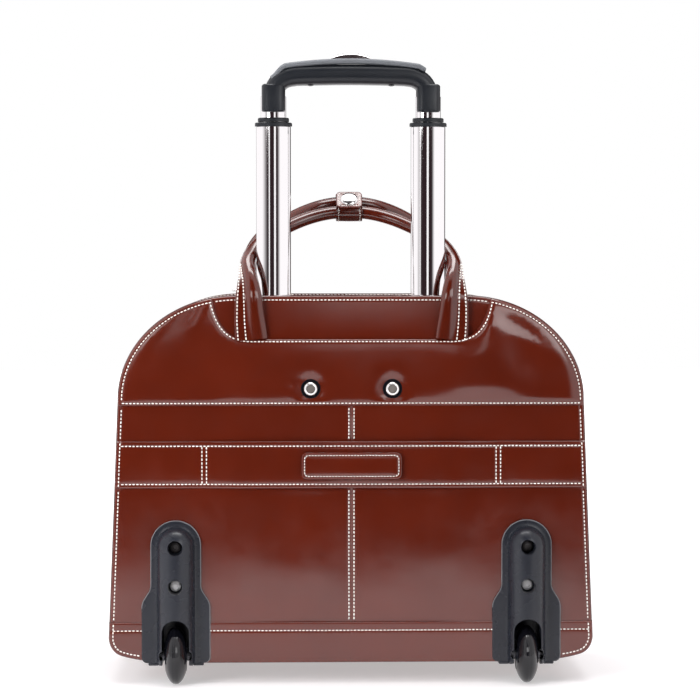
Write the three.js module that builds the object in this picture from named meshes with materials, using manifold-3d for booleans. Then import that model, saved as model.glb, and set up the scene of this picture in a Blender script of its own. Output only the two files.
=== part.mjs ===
// Rolling laptop case: a leather business case with a telescopic trolley handle,
// two recessed wheels at the back and two feet at the front.
// Units are millimetres. +Z is up, the trolley and wheels are on the -Y side,
// and the origin is on the floor under the middle of the whole object.

import * as THREE from 'three';
import { mergeVertices } from 'three/addons/utils/BufferGeometryUtils.js';
import Module from 'manifold-3d';

const wasm = await Module();
wasm.setup();

// ---------------------------------------------------------------- driving dimensions

const GAP = 0.3;                 // clearance between pieces that lie against each other
const SIDES = [{ side: 'left', sign: -1 }, { side: 'right', sign: 1 }];

// Case body
const CASE_DEPTH = 160;          // rear face to front face
const POCKET_DEPTH = 22;         // front pocket, forward of the front face
const WHEEL_REACH = 28.5;        // wheels, behind the rear face
const REAR = -(CASE_DEPTH + POCKET_DEPTH - WHEEL_REACH) / 2;
const FRONT = REAR + CASE_DEPTH;
const MID = (REAR + FRONT) / 2;
const BASE_Z = 18;               // underside of the case
const TOP_Z = 345;               // top edge of the case
const TOP_HALF = 102.5;          // half length of the straight top edge
const SHOULDER_Z = 252;          // where the rounded shoulders start
const SHOULDER_HALF = 207.5;     // half width there
const HIP_HALF = 216;            // half width just above the bottom corners
const HIP_Z = 40;
const FLAT_HALF = 150;           // half length of the flat part of the bottom
const PANEL_T = 5;               // stiffened front and rear panels
const PANEL_INSET = 3.1;
const BINDING_W = 2.8;           // rolled edge around each panel
const BAND_TOP_Z = 54.5;         // top edge of the base cover
const GUSSET_T = 2.5;
const GUSSET_INSET = 1.2;

// Leather laid on the rear face
const SEAM_Z = 247;              // lower edge of the upper panel
const YOKE_Z = 306.7;            // level stretch of the yoke seam
const YOKE_LEVEL_HALF = 88;
const YOKE_TOP_HALF = 124;
const UPPER_T = 1.8;
const YOKE_T = 1.0;
const STRAP_LOW_Z = 174;
const STRAP_HIGH_Z = 215.8;
const STRAP_T = 2;
const STRAP_SEAM_HALF = 130;     // the two seams that hold the strap down
const STRAP_LIFT = 4.7;          // room behind the strap for another case's handle
const PATCH = { width: 88.8, height: 23.7, thick: 1.5, corner: 5, z: 194.2 };
const BOLT = { x: 36.3, z: 262.3, shankR: 2.2, flangeR: 6, flangeT: 2.6, recessR: 3.2, length: 22 };

// Zips and the front pocket
const ZIP_HALF = 7;              // half width of the main zip's tapes
const ZIP_MEET = -80.5;          // where the main zip's two sliders meet, behind a tote handle
const SLIDER = { length: 11, width: 8, height: 3.6, bridge: 3.5 };
const PULL = { half: 10, halfWidth: 2.6, corner: 2.2, thick: 1.4, reach: 11 };
const POCKET = { half: 176, low: 56, high: 226, corner: 16, wall: 2.5 };
const POCKET_ZIP = { half: 140, width: 8, parked: 12 };

// Base
const BASE_SKIN = 2.5;
const BASE_LAP = 2.3;            // the base cover stands this far proud of both faces
const BOARD_T = 3;
const FOOT_INSET = 26;           // front feet, behind the front face
const FOOT = { y: FRONT - FOOT_INSET, radius: 11, topRadius: 13 };
const DIVIDER = { half: 172, halfHeight: 116, corner: 18, from: 68, to: 74 };

// Trolley
const TUBE_X = 69;
const TUBE_Y = REAR + 18.5;
const TUBE_SIDES = 20;
const SLEEVE = { a: 18.5, b: 13, wall: 2.4, low: 36, high: 339.5 };
const BRACKET = { low: 250, high: 277, footHigh: 52, margin: 4 };
const STAGE_A = { a: 15.4, b: 9.8, wall: 1.1, low: 200, high: 495 };
const STAGE_B = { a: 13.3, b: 7.9, wall: 1.0, low: 206, high: 499 };
const STAGE_C = { a: 11.3, b: 6.1, wall: 1.0, low: 212, high: 522 };
const COLLAR_A = { a: 16.6, b: 11.0, low: 495.3, high: 498.6 };
const COLLAR_B = { a: 13.9, b: 8.6, low: 499.3, high: 502.9 };

// Grip
const GRIP = {
  half: 79.5, legInner: 58.5, legLow: 508.1, under: 531.9, corner: 7,
  shoulder: 533.4, bendX: 66, bendZ: 548.4, top: 555.6, depth: 25, bevel: 3,
};
const CAP = { half: 68, thick: 5, depth: 23 };
const BUTTON = { half: 17.5, proud: 4.6, sunk: 9, depth: 13, travel: 4 };

// Wheels and their housings
const WHEEL_X = 156;
const WHEEL_R = 25.5;
const WHEEL_HALF = 11;
const WHEEL_Y = REAR + WHEEL_R - WHEEL_REACH;
const HUB_R = 13.6;
const AXLE_R = 3;
const HOUSING = {
  plateT: 3, upperHalf: 22.25, lowerHalf: 30.5, flareHigh: 84, flareLow: 71,
  topZ: 145.5, lowZ: 18.4, corner: 5, skidHalf: 25, barrelR: 16, barrelTop: 139,
  archHalf: 12, archTop: 58.5, wall: 3, wellDepth: 25, skidLow: 16,
};
const SCREW_Z = { lower: 88, upper: 122.5 };
const SCREW = { pocketR: 6, headR: 4.6, headT: 2.6, shankR: 2, floor: 6.5, length: 14 };

// Tote handles
const HANDLE_RISE = 8.1;         // the front handle lies this far above and in front of the rear one
const ROPE = 11.5;
const CROWN = new THREE.Vector2(REAR + 72.6, 420.6);   // y and z of the rear handle's crown
const KEEPER = { half: 12, wall: 1.8, room: 1.1, tilt: Math.PI / 4, tabHalf: 11.8, tabLap: 4.6, tabT: 1.6 };

// Right leg of the rear handle: x, distance in front of the rear face, z, width and thickness.
const LEG = [
  [88.5, -4.8, 308.2, 28, 5], [90.5, -5.2, 326, 27, 5.5], [92.6, -6, 345, 24, 6.2],
  [94.3, 2.2, 361, 17.5, 9], [93.6, 16.5, 374, 12.6, 11], [87, 33, 386, ROPE, ROPE],
  [76.6, 46, 395.8, ROPE, ROPE], [60, 58, 404.8, ROPE, ROPE], [40, 66.8, 413.6, ROPE, ROPE],
  [20, 71.3, 419, ROPE, ROPE], [0, 72.6, 420.6, ROPE, ROPE],
];

// ---------------------------------------------------------------- solids

function toManifold(geometry) {
  const bare = geometry.clone();
  bare.deleteAttribute('normal');
  bare.deleteAttribute('uv');
  const merged = mergeVertices(bare, 1e-4);
  return new wasm.Manifold(new wasm.Mesh({
    numProp: 3,
    vertProperties: new Float32Array(merged.attributes.position.array),
    triVerts: new Uint32Array(merged.index.array),
  }));
}

function fromManifold(solid) {
  const mesh = solid.getMesh();
  const geometry = new THREE.BufferGeometry();
  geometry.setAttribute('position', new THREE.BufferAttribute(mesh.vertProperties, 3));
  geometry.setIndex(new THREE.BufferAttribute(mesh.triVerts, 1));
  geometry.computeVertexNormals();
  return geometry;
}

function join(...geometries) {
  return fromManifold(geometries.map(toManifold).reduce((sum, next) => sum.add(next)));
}

function cut(geometry, ...tools) {
  const whole = toManifold(geometry);
  return fromManifold(tools.map(toManifold).reduce((rest, tool) => rest.subtract(tool), whole));
}

function overlap(geometry, other) {
  return fromManifold(toManifold(geometry).intersect(toManifold(other)));
}

// A box from its low and high corners.
function box(low, high) {
  const size = high.map((value, i) => value - low[i]);
  const middle = high.map((value, i) => (value + low[i]) / 2);
  return new THREE.BoxGeometry(...size).translate(...middle);
}

// A flat shape drawn in X and Z, given thickness from y = from to y = to.
function plate(shape, from, to, curveSegments = 3, bevel = 0) {
  const geometry = new THREE.ExtrudeGeometry(shape, {
    depth: to - from - 2 * bevel,
    bevelEnabled: bevel > 0,
    bevelThickness: bevel,
    bevelSize: bevel,
    bevelOffset: -bevel,
    bevelSegments: 2,
    curveSegments,
  });
  return geometry.rotateX(Math.PI / 2).translate(0, to - bevel, 0);
}

// A flat shape drawn in X and Y, raised from z = from to z = to.
function column(shape, from, to) {
  return new THREE.ExtrudeGeometry(shape, { depth: to - from, bevelEnabled: false, curveSegments: 3 })
    .translate(0, 0, from);
}

function rodAlongX(radius, x0, x1, y, z, sides = 16) {
  return new THREE.CylinderGeometry(radius, radius, x1 - x0, sides)
    .rotateZ(Math.PI / 2).translate((x0 + x1) / 2, y, z);
}

function rodAlongY(radius, y0, y1, x, z, sides = 12) {
  return new THREE.CylinderGeometry(radius, radius, y1 - y0, sides).translate(x, (y0 + y1) / 2, z);
}

function ellipse(a, b, sides = TUBE_SIDES) {
  const points = [];
  for (let i = 0; i < sides; i += 1) {
    const angle = (2 * Math.PI * i) / sides;
    points.push(new THREE.Vector2(a * Math.cos(angle), b * Math.sin(angle)));
  }
  return points;
}

function roundedRect(halfWidth, halfHeight, corner) {
  const shape = new THREE.Shape();
  shape.moveTo(-halfWidth + corner, -halfHeight);
  shape.lineTo(halfWidth - corner, -halfHeight);
  shape.absarc(halfWidth - corner, -halfHeight + corner, corner, -Math.PI / 2, 0);
  shape.lineTo(halfWidth, halfHeight - corner);
  shape.absarc(halfWidth - corner, halfHeight - corner, corner, 0, Math.PI / 2);
  shape.lineTo(-halfWidth + corner, halfHeight);
  shape.absarc(-halfWidth + corner, halfHeight - corner, corner, Math.PI / 2, Math.PI);
  shape.lineTo(-halfWidth, -halfHeight + corner);
  shape.absarc(-halfWidth + corner, -halfHeight + corner, corner, Math.PI, Math.PI * 1.5);
  return shape;
}

// A skin through rings of equal point counts, closed by a fan at each end.
function loft(rings) {
  const around = rings[0].length;
  const positions = rings.flat().flatMap((point) => point.toArray());
  const index = [];
  for (let ring = 0; ring < rings.length - 1; ring += 1) {
    for (let i = 0; i < around; i += 1) {
      const a = ring * around + i;
      const b = ring * around + ((i + 1) % around);
      index.push(a, a + around, b, b, a + around, b + around);
    }
  }
  for (const ring of [0, rings.length - 1]) {
    const centre = positions.length / 3;
    const middle = rings[ring].reduce((sum, point) => sum.add(point), new THREE.Vector3());
    positions.push(...middle.divideScalar(around).toArray());
    for (let i = 0; i < around; i += 1) {
      const a = ring * around + i;
      const b = ring * around + ((i + 1) % around);
      index.push(...(ring === 0 ? [centre, a, b] : [centre, b, a]));
    }
  }
  const geometry = new THREE.BufferGeometry();
  geometry.setAttribute('position', new THREE.Float32BufferAttribute(positions, 3));
  geometry.setIndex(index);
  return geometry;
}

// ---------------------------------------------------------------- materials and nodes

const FINISHES = {
  leather: { color: 0x6b2a1a, roughness: 0.22, metalness: 0 },
  lining: { color: 0x3a2a22, roughness: 0.9, metalness: 0 },
  board: { color: 0x4a4038, roughness: 0.8, metalness: 0 },
  steel: { color: 0xd9d6d8, roughness: 0.08, metalness: 1 },
  charcoal: { color: 0x3c3b40, roughness: 0.42, metalness: 0 },
  softTouch: { color: 0x77777a, roughness: 0.7, metalness: 0 },
  tyre: { color: 0x232325, roughness: 0.25, metalness: 0 },
  zip: { color: 0x2a1510, roughness: 0.6, metalness: 0 },
  nickel: { color: 0xc8c6c4, roughness: 0.2, metalness: 1 },
};

const laptopCase = new THREE.Group();

function add(name, geometry, finish, parent = laptopCase) {
  const mesh = new THREE.Mesh(geometry, new THREE.MeshStandardMaterial(FINISHES[finish]));
  mesh.name = name;
  parent.add(mesh);
  return mesh;
}

// ---------------------------------------------------------------- the case's outline

// Half width of the straight, flared side at height z.
function sideHalf(z) {
  return HIP_HALF - ((HIP_HALF - SHOULDER_HALF) * (z - HIP_Z)) / (SHOULDER_Z - HIP_Z);
}

// Right half of the outline from height z up to the middle of the top edge.
function upperHalf(z) {
  const points = [new THREE.Vector2(sideHalf(z), z), new THREE.Vector2(SHOULDER_HALF, SHOULDER_Z)];
  const steps = 12;
  for (let i = 1; i <= steps; i += 1) {
    const angle = (Math.PI / 2) * (i / steps);
    points.push(new THREE.Vector2(
      TOP_HALF + (SHOULDER_HALF - TOP_HALF) * Math.cos(angle),
      SHOULDER_Z + (TOP_Z - SHOULDER_Z) * Math.sin(angle),
    ));
  }
  return points;
}

// Right half of the outline from the middle of the bottom up to height z.
function lowerHalf(z) {
  const path = new THREE.Path();
  path.moveTo(FLAT_HALF, BASE_Z);
  path.quadraticCurveTo(FLAT_HALF + 34, BASE_Z + 0.5, HIP_HALF - 13, BASE_Z + 6);
  path.quadraticCurveTo(HIP_HALF - 1.5, BASE_Z + 9, HIP_HALF, HIP_Z);
  return [...path.getPoints(4), new THREE.Vector2(sideHalf(z), z)];
}

const mirrored = (points) => points.map((p) => new THREE.Vector2(-p.x, p.y)).reverse();

// Moves an anticlockwise run of points inwards by a distance.
function inset(points, distance, closed) {
  const count = points.length;
  const normalOf = (from, to) => {
    const along = to.clone().sub(from).normalize();
    return new THREE.Vector2(-along.y, along.x);
  };
  return points.map((point, i) => {
    const before = closed || i > 0 ? normalOf(points[(i + count - 1) % count], point) : null;
    const after = closed || i < count - 1 ? normalOf(point, points[(i + 1) % count]) : null;
    const normal = (before ?? after).clone().add(after ?? before).normalize();
    return point.clone().addScaledVector(normal, distance / normal.dot(before ?? after));
  });
}

// The whole outline, moved inwards.
function outline(distance) {
  const right = [...lowerHalf(BAND_TOP_Z), ...upperHalf(BAND_TOP_Z).slice(1)];
  return inset([...right, ...mirrored(right)], distance, true);
}

// A strip that follows the sides and top above height z, between two insets.
function hoop(z, outer, inner) {
  const right = upperHalf(z);
  const run = [...right, ...mirrored(right)];
  return new THREE.Shape([...inset(run, outer, false), ...inset(run, inner, false).reverse()]);
}

// ---------------------------------------------------------------- wheel housings

function housingOutline(grow = 0) {
  const { upperHalf: narrow, lowerHalf: wide, flareHigh, flareLow, topZ, lowZ, corner } = HOUSING;
  const top = topZ - narrow;
  const shape = new THREE.Shape();
  shape.moveTo(-wide - grow + corner, lowZ - grow);
  shape.lineTo(wide + grow - corner, lowZ - grow);
  shape.quadraticCurveTo(wide + grow, lowZ - grow, wide + grow, lowZ - grow + corner);
  shape.lineTo(wide + grow, flareLow);
  shape.lineTo(narrow + grow, flareHigh);
  shape.absarc(0, top, narrow + grow, 0, Math.PI);
  shape.lineTo(-narrow - grow, flareHigh);
  shape.lineTo(-wide - grow, flareLow);
  shape.lineTo(-wide - grow, lowZ - grow + corner);
  shape.quadraticCurveTo(-wide - grow, lowZ - grow, -wide - grow + corner, lowZ - grow);
  return shape;
}

function archShape(half, top, low) {
  const shape = new THREE.Shape();
  shape.moveTo(-half, low);
  shape.lineTo(half, low);
  shape.absarc(0, top - half, half, 0, Math.PI);
  return shape;
}

// The raised barrel: half a round column with a domed top.
function barrel() {
  const { barrelR, barrelTop, lowZ, plateT } = HOUSING;
  const dome = 5;
  const profile = [new THREE.Vector2(0, lowZ), new THREE.Vector2(barrelR, lowZ)];
  for (let i = 0; i <= dome; i += 1) {
    const angle = (Math.PI / 2) * (i / dome);
    profile.push(new THREE.Vector2(
      i === dome ? 0 : barrelR * Math.cos(angle),
      barrelTop - barrelR + barrelR * Math.sin(angle),
    ));
  }
  const round = new THREE.LatheGeometry(profile, 24).rotateX(Math.PI / 2).translate(0, REAR - plateT, 0);
  const behind = box([-barrelR - 1, REAR - 40, 0], [barrelR + 1, REAR - plateT + 1, barrelTop + 1]);
  return overlap(round, behind);
}

function housingGeometry() {
  const { plateT, archHalf, archTop, wall, wellDepth, skidHalf, skidLow, barrelR } = HOUSING;
  const back = REAR + wellDepth + wall;
  const body = join(
    plate(housingOutline(), REAR - plateT, REAR - GAP, 5),
    barrel(),
    plate(archShape(archHalf + wall, archTop + wall, skidLow), REAR - plateT, back),
    box([-skidHalf, REAR - plateT, skidLow], [skidHalf, back + 3, BASE_Z - GAP]),
  );
  const pockets = Object.values(SCREW_Z).map((z) => (
    rodAlongY(SCREW.pocketR, REAR - 40, REAR - SCREW.floor, 0, z)
  ));
  const holes = Object.values(SCREW_Z).map((z) => (
    rodAlongY(SCREW.shankR + GAP, REAR - 40, REAR + 5, 0, z, 12)
  ));
  return cut(
    body,
    plate(archShape(archHalf, archTop, 0), REAR - 40, REAR + wellDepth),
    rodAlongX(AXLE_R + GAP, -barrelR - 2, barrelR + 2, WHEEL_Y, WHEEL_R, 16),
    rodAlongX(8, -archHalf - 1.4, archHalf + 1.4, WHEEL_Y, WHEEL_R),
    ...pockets,
    ...holes,
  );
}

function screwGeometry(z) {
  const { headR, headT, shankR, floor, length } = SCREW;
  const seat = REAR - floor - GAP;
  const profile = [
    [0, 0], [shankR, 0], [shankR, length], [headR, length], [headR * 0.92, length + headT * 0.6],
    [headR * 0.5, length + headT], [0, length + headT],
  ].map(([r, h]) => new THREE.Vector2(r, h));
  return new THREE.LatheGeometry(profile, 12).rotateX(Math.PI).translate(0, seat + length, z);
}

// ---------------------------------------------------------------- wheels

// Half width of the lens-shaped wheel at a given radius.
function wheelHalfWidth(radius) {
  return WHEEL_HALF * Math.sqrt(Math.max(0, 1 - (radius / WHEEL_R) ** 2));
}

function tyreGeometry() {
  const inner = HUB_R + GAP;
  const steps = 4;
  const right = [];
  for (let i = 0; i < steps; i += 1) {
    const radius = inner + (WHEEL_R - inner) * Math.sin((Math.PI / 2) * (i / steps));
    right.push(new THREE.Vector2(radius, wheelHalfWidth(radius)));
  }
  const left = right.map((p) => new THREE.Vector2(p.x, -p.y)).reverse();
  const profile = [...left, ...right].sort((p, q) => p.y - q.y);
  const crown = new THREE.Vector2(WHEEL_R, 0);
  profile.splice(steps, 0, crown);
  return new THREE.LatheGeometry([...profile, profile[0].clone()], 26).rotateZ(-Math.PI / 2);
}

function hubGeometry() {
  const bore = AXLE_R + GAP;
  const rim = wheelHalfWidth(HUB_R);
  const profile = [
    [bore, -rim - 0.6], [6.5, -rim - 0.6], [7.5, -rim + 1.4], [HUB_R, -rim],
    [HUB_R, rim], [7.5, rim - 1.4], [6.5, rim + 0.6], [bore, rim + 0.6], [bore, -rim - 0.6],
  ].map(([r, h]) => new THREE.Vector2(r, h));
  return new THREE.LatheGeometry(profile, 20).rotateZ(-Math.PI / 2);
}

// An axle with a shoulder on each side of the hub.
function axleGeometry() {
  const end = HOUSING.barrelR - 1.2;
  const shoulderIn = wheelHalfWidth(HUB_R) + 0.6 + GAP;
  const shoulderOut = HOUSING.archHalf - GAP;
  const profile = [
    [0, -end], [AXLE_R, -end], [AXLE_R, -shoulderOut], [5, -shoulderOut], [5, -shoulderIn],
    [AXLE_R, -shoulderIn], [AXLE_R, shoulderIn], [5, shoulderIn], [5, shoulderOut],
    [AXLE_R, shoulderOut], [AXLE_R, end], [0, end],
  ].map(([r, h]) => new THREE.Vector2(r, h));
  return new THREE.LatheGeometry(profile, 12).rotateZ(-Math.PI / 2);
}

function addWheels() {
  for (const { side, sign } of SIDES) {
    const corner = new THREE.Group();
    corner.position.x = sign * WHEEL_X;
    laptopCase.add(corner);
    add(`wheel_housing_${side}`, housingGeometry(), 'charcoal', corner);
    for (const [level, z] of Object.entries(SCREW_Z)) {
      add(`housing_screw_${side}_${level}`, screwGeometry(z), 'nickel', corner);
    }
    const wheel = new THREE.Group();
    wheel.position.set(0, WHEEL_Y, WHEEL_R);
    corner.add(wheel);
    add(`wheel_axle_${side}`, axleGeometry(), 'nickel', wheel);
    add(`wheel_hub_${side}`, hubGeometry(), 'charcoal', wheel);
    add(`wheel_tyre_${side}`, tyreGeometry(), 'tyre', wheel);
  }
}

// ---------------------------------------------------------------- case shell

// Room in the rear panel, base cover and their neighbours for the two wheel housings.
function housingRoom() {
  const { archHalf, wall, archTop, wellDepth, plateT } = HOUSING;
  const half = archHalf + wall + GAP;
  const back = REAR + wellDepth + wall + GAP;
  return SIDES.flatMap(({ sign }) => [
    box([sign * WHEEL_X - half, REAR - 10, 0], [sign * WHEEL_X + half, back, archTop + wall + GAP]),
    plate(housingOutline(GAP), REAR - 10, REAR - GAP + 0.1, 5).translate(sign * WHEEL_X, 0, 0),
    ...Object.values(SCREW_Z).map((z) => (
      rodAlongY(SCREW.shankR + GAP, REAR - plateT, REAR + PANEL_T + 1, sign * WHEEL_X, z, 12)
    )),
  ]);
}

// The two frame bolts' way through the rear face and the upper bracket.
function boltHoles() {
  return SIDES.map(({ sign }) => (
    rodAlongY(BOLT.shankR + GAP, REAR - 9, REAR + BOLT.length, sign * BOLT.x, BOLT.z, 12)
  ));
}

// The telescopic tubes' way through the top of the case.
function tubeRoom(a, b, from, to) {
  return SIDES.map(({ sign }) => (
    column(new THREE.Shape(ellipse(a, b)), from, to).translate(sign * TUBE_X, TUBE_Y, 0)
  ));
}

function baseCover() {
  const lowOutline = (distance, top) => {
    const right = lowerHalf(top);
    return new THREE.Shape(inset([...right, ...mirrored(right)], distance, false));
  };
  const tray = plate(lowOutline(0, BAND_TOP_Z), REAR - BASE_LAP, FRONT + BASE_LAP);
  const inside = plate(lowOutline(BASE_SKIN, BAND_TOP_Z + 5), REAR - GAP, FRONT + GAP);
  return cut(tray, inside, ...housingRoom());
}

// Sides and top, in two strips with the zip between them.
function addGussets() {
  const strip = hoop(BAND_TOP_Z + GAP, GUSSET_INSET, GUSSET_INSET + GUSSET_T);
  const rear = plate(strip, REAR + PANEL_T + GAP, MID - ZIP_HALF - GAP);
  const tubeWay = tubeRoom(COLLAR_A.a + 1, COLLAR_A.b + 1, TOP_Z - 20, TOP_Z + 5);
  add('gusset_rear', cut(rear, ...tubeWay), 'leather');
  add('gusset_front', plate(strip, MID + ZIP_HALF + GAP, FRONT - PANEL_T - GAP), 'leather');
  const zipInset = GUSSET_INSET + 0.4;
  const tapes = hoop(BAND_TOP_Z + GAP, zipInset, zipInset + 2);
  add('main_zip', plate(tapes, MID - ZIP_HALF, MID + ZIP_HALF), 'zip');
}

function addPanels() {
  const panel = new THREE.Shape(outline(PANEL_INSET));
  const rear = plate(panel, REAR, REAR + PANEL_T);
  add('rear_panel', cut(rear, ...housingRoom(), ...boltHoles()), 'leather');
  add('front_panel', plate(panel, FRONT - PANEL_T, FRONT), 'leather');
  const rim = hoop(BAND_TOP_Z + GAP, 0, BINDING_W);
  add('binding_rear', plate(rim, REAR - 1.5, REAR + PANEL_T), 'leather');
  add('binding_front', plate(rim, FRONT - PANEL_T, FRONT + 1.5), 'leather');
}

// ---------------------------------------------------------------- rear face

// Right half of the yoke seam, from the top edge down to its level stretch.
function yokeSeam(distance) {
  const start = YOKE_TOP_HALF;
  const part = (start - TOP_HALF) / (SHOULDER_HALF - TOP_HALF);
  const z = SHOULDER_Z + (TOP_Z - SHOULDER_Z) * Math.sqrt(1 - part ** 2);
  const curve = new THREE.CubicBezierCurve(
    new THREE.Vector2(start, z + 4),
    new THREE.Vector2(start - 5, z - 25),
    new THREE.Vector2(YOKE_LEVEL_HALF + 22, YOKE_Z),
    new THREE.Vector2(YOKE_LEVEL_HALF, YOKE_Z),
  );
  return curve.getPoints(10).map((p) => p.clone().add(new THREE.Vector2(-distance * 0.7, distance)));
}

// Everything above and inside the yoke seam.
function yokeRegion(distance) {
  const right = yokeSeam(distance).reverse();
  const left = right.map((p) => new THREE.Vector2(-p.x, p.y)).reverse();
  const top = TOP_Z + 20;
  const last = right[right.length - 1];
  const corners = [new THREE.Vector2(last.x, top), new THREE.Vector2(-last.x, top)];
  return new THREE.Shape([...right, ...corners, ...left]);
}

function addRearFace() {
  const face = new THREE.Shape(outline(PANEL_INSET + 0.2));
  const half = HIP_HALF + 10;
  const aboveSeam = box([-half, REAR - 9, SEAM_Z], [half, REAR + 9, TOP_Z + 9]);
  const upperSkin = overlap(plate(face, REAR - GAP - UPPER_T, REAR - GAP), aboveSeam);
  const yokeTool = plate(yokeRegion(0), REAR - 9, REAR + 9);
  add('rear_upper_panel', cut(upperSkin, yokeTool, ...boltHoles()), 'leather');
  const yokeSkin = plate(face, REAR - GAP - YOKE_T, REAR - GAP);
  add('rear_yoke', overlap(yokeSkin, plate(yokeRegion(GAP), REAR - 9, REAR + 9)), 'leather');
  addStrap();
  for (const { side, sign } of SIDES) {
    add(`frame_bolt_${side}`, boltGeometry().translate(sign * BOLT.x, 0, BOLT.z), 'nickel');
  }
}

// The luggage strap lies on the face at its ends and stands off between its two seams.
function addStrap() {
  const low = REAR - GAP;
  const high = REAR - GAP - STRAP_LIFT;
  const end = sideHalf(STRAP_HIGH_Z) - PANEL_INSET - 1;
  const ramp = 9;
  const line = [
    [end, low], [STRAP_SEAM_HALF - 1, low], [STRAP_SEAM_HALF - 0.5 * ramp, low - 0.4 * STRAP_LIFT],
    [STRAP_SEAM_HALF - ramp, high],
  ];
  const inner = [...line, ...line.map(([x, y]) => [-x, y]).reverse()];
  const outer = inner.map(([x, y]) => [x, y - STRAP_T]).reverse();
  const shape = new THREE.Shape([...inner, ...outer].map(([x, y]) => new THREE.Vector2(x, y)));
  add('luggage_strap', column(shape, STRAP_LOW_Z, STRAP_HIGH_Z), 'leather');
  const face = high - STRAP_T - GAP;
  const patch = plate(roundedRect(PATCH.width / 2, PATCH.height / 2, PATCH.corner), face - PATCH.thick, face);
  add('blank_patch', patch.translate(0, 0, PATCH.z), 'leather');
}

// A frame bolt: flanged dome head with a driver recess, and a shank into the cross bracket.
function boltGeometry() {
  const { shankR, flangeR, flangeT, recessR, length } = BOLT;
  const profile = [
    [0, 0], [shankR, 0], [shankR, length], [flangeR, length], [flangeR, length + 1],
    [flangeR - 1.2, length + flangeT], [recessR, length + flangeT],
    [recessR, length + 0.8], [0, length + 0.8],
  ].map(([r, h]) => new THREE.Vector2(r, h));
  const seat = REAR - GAP - UPPER_T - GAP;
  return new THREE.LatheGeometry(profile, 16).rotateX(Math.PI).translate(0, seat + length, 0);
}

// ---------------------------------------------------------------- front face, inside and feet

function addFront() {
  const middleZ = (POCKET.low + POCKET.high) / 2;
  const halfHeight = (POCKET.high - POCKET.low) / 2;
  const shapeOf = (less) => roundedRect(POCKET.half - less, halfHeight - less, POCKET.corner - less);
  const outer = plate(shapeOf(0), FRONT + GAP, FRONT + POCKET_DEPTH);
  const inner = plate(shapeOf(POCKET.wall), FRONT - 1, FRONT + POCKET_DEPTH - POCKET.wall);
  const zipY = FRONT + POCKET_DEPTH / 2;
  const slotHalf = POCKET_ZIP.width / 2 + GAP;
  const slot = box(
    [-POCKET_ZIP.half - GAP, zipY - slotHalf, POCKET.high - 8],
    [POCKET_ZIP.half + GAP, zipY + slotHalf, POCKET.high + 4],
  );
  const shell = cut(outer.translate(0, 0, middleZ), inner.translate(0, 0, middleZ), slot);
  add('front_pocket', shell, 'leather');
  const top = POCKET.high - 0.4;
  add('front_pocket_zip', box(
    [-POCKET_ZIP.half, zipY - POCKET_ZIP.width / 2, top - 1.8],
    [POCKET_ZIP.half, zipY + POCKET_ZIP.width / 2, top],
  ), 'zip');
  const parked = -POCKET_ZIP.half + POCKET_ZIP.parked;
  addSlider('front_pocket_slider', 'front_pocket_pull', parked, zipY, POCKET.high, 1);
}

// A slider body and its pull, which lies flat along the zip towards +X or -X.
function addSlider(bodyName, pullName, x, y, z, direction) {
  const { length, width, height, bridge } = SLIDER;
  const step = height - 1.2;
  const base = z + GAP;
  const body = join(
    box([-length / 2, -width / 2, 0], [length / 2, width / 2, step]),
    box([-bridge, -width / 5, step - 0.2], [bridge, width / 5, height]),
  );
  add(bodyName, body.translate(x, y, base), 'nickel');
  const tab = roundedRect(PULL.half, PULL.halfWidth, PULL.corner);
  const pull = column(tab, 0, PULL.thick).translate(direction * PULL.reach, 0, 0);
  add(pullName, pull.translate(x, y, base + height + GAP), 'nickel');
}

function addInside() {
  const boardLow = BASE_Z + BASE_SKIN + GAP;
  const boardTop = boardLow + BOARD_T;
  add('base_board', box(
    [-FLAT_HALF + 2, REAR + 38, boardLow],
    [FLAT_HALF - 2, FRONT - PANEL_T - 1.5, boardTop],
  ), 'board');
  const { half, halfHeight, corner, from, to } = DIVIDER;
  const divider = plate(roundedRect(half, halfHeight, corner), REAR + from, REAR + to);
  add('laptop_divider', divider.translate(0, 0, boardTop + GAP + halfHeight), 'lining');
}

function addFeet() {
  for (const { side, sign } of SIDES) {
    const height = BASE_Z - GAP;
    const foot = new THREE.CylinderGeometry(FOOT.topRadius, FOOT.radius, height, 20).rotateX(Math.PI / 2);
    add(`front_foot_${side}`, foot.translate(sign * WHEEL_X, FOOT.y, height / 2), 'charcoal');
  }
}

// ---------------------------------------------------------------- trolley

// A straight elliptical tube.
function tube({ a, b, wall, low, high }) {
  const shape = new THREE.Shape(ellipse(a, b));
  shape.holes.push(new THREE.Path(ellipse(a - wall, b - wall)));
  return column(shape, low, high);
}

// A plastic ring at the top of one stage, around the next stage's tube.
function collar({ a, b, low, high }, next) {
  return tube({ a, b, wall: Math.min(a - next.a, b - next.b) - GAP, low, high });
}

// A cross member with a socket or through hole for each sleeve.
function bracket(low, high, holeLow) {
  const block = box(
    [-TUBE_X - SLEEVE.a - BRACKET.margin, TUBE_Y - SLEEVE.b + 0.2, low],
    [TUBE_X + SLEEVE.a + BRACKET.margin, TUBE_Y + SLEEVE.b + BRACKET.margin, high],
  );
  return cut(block, ...tubeRoom(SLEEVE.a + GAP, SLEEVE.b + GAP, holeLow, high + 5));
}

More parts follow.
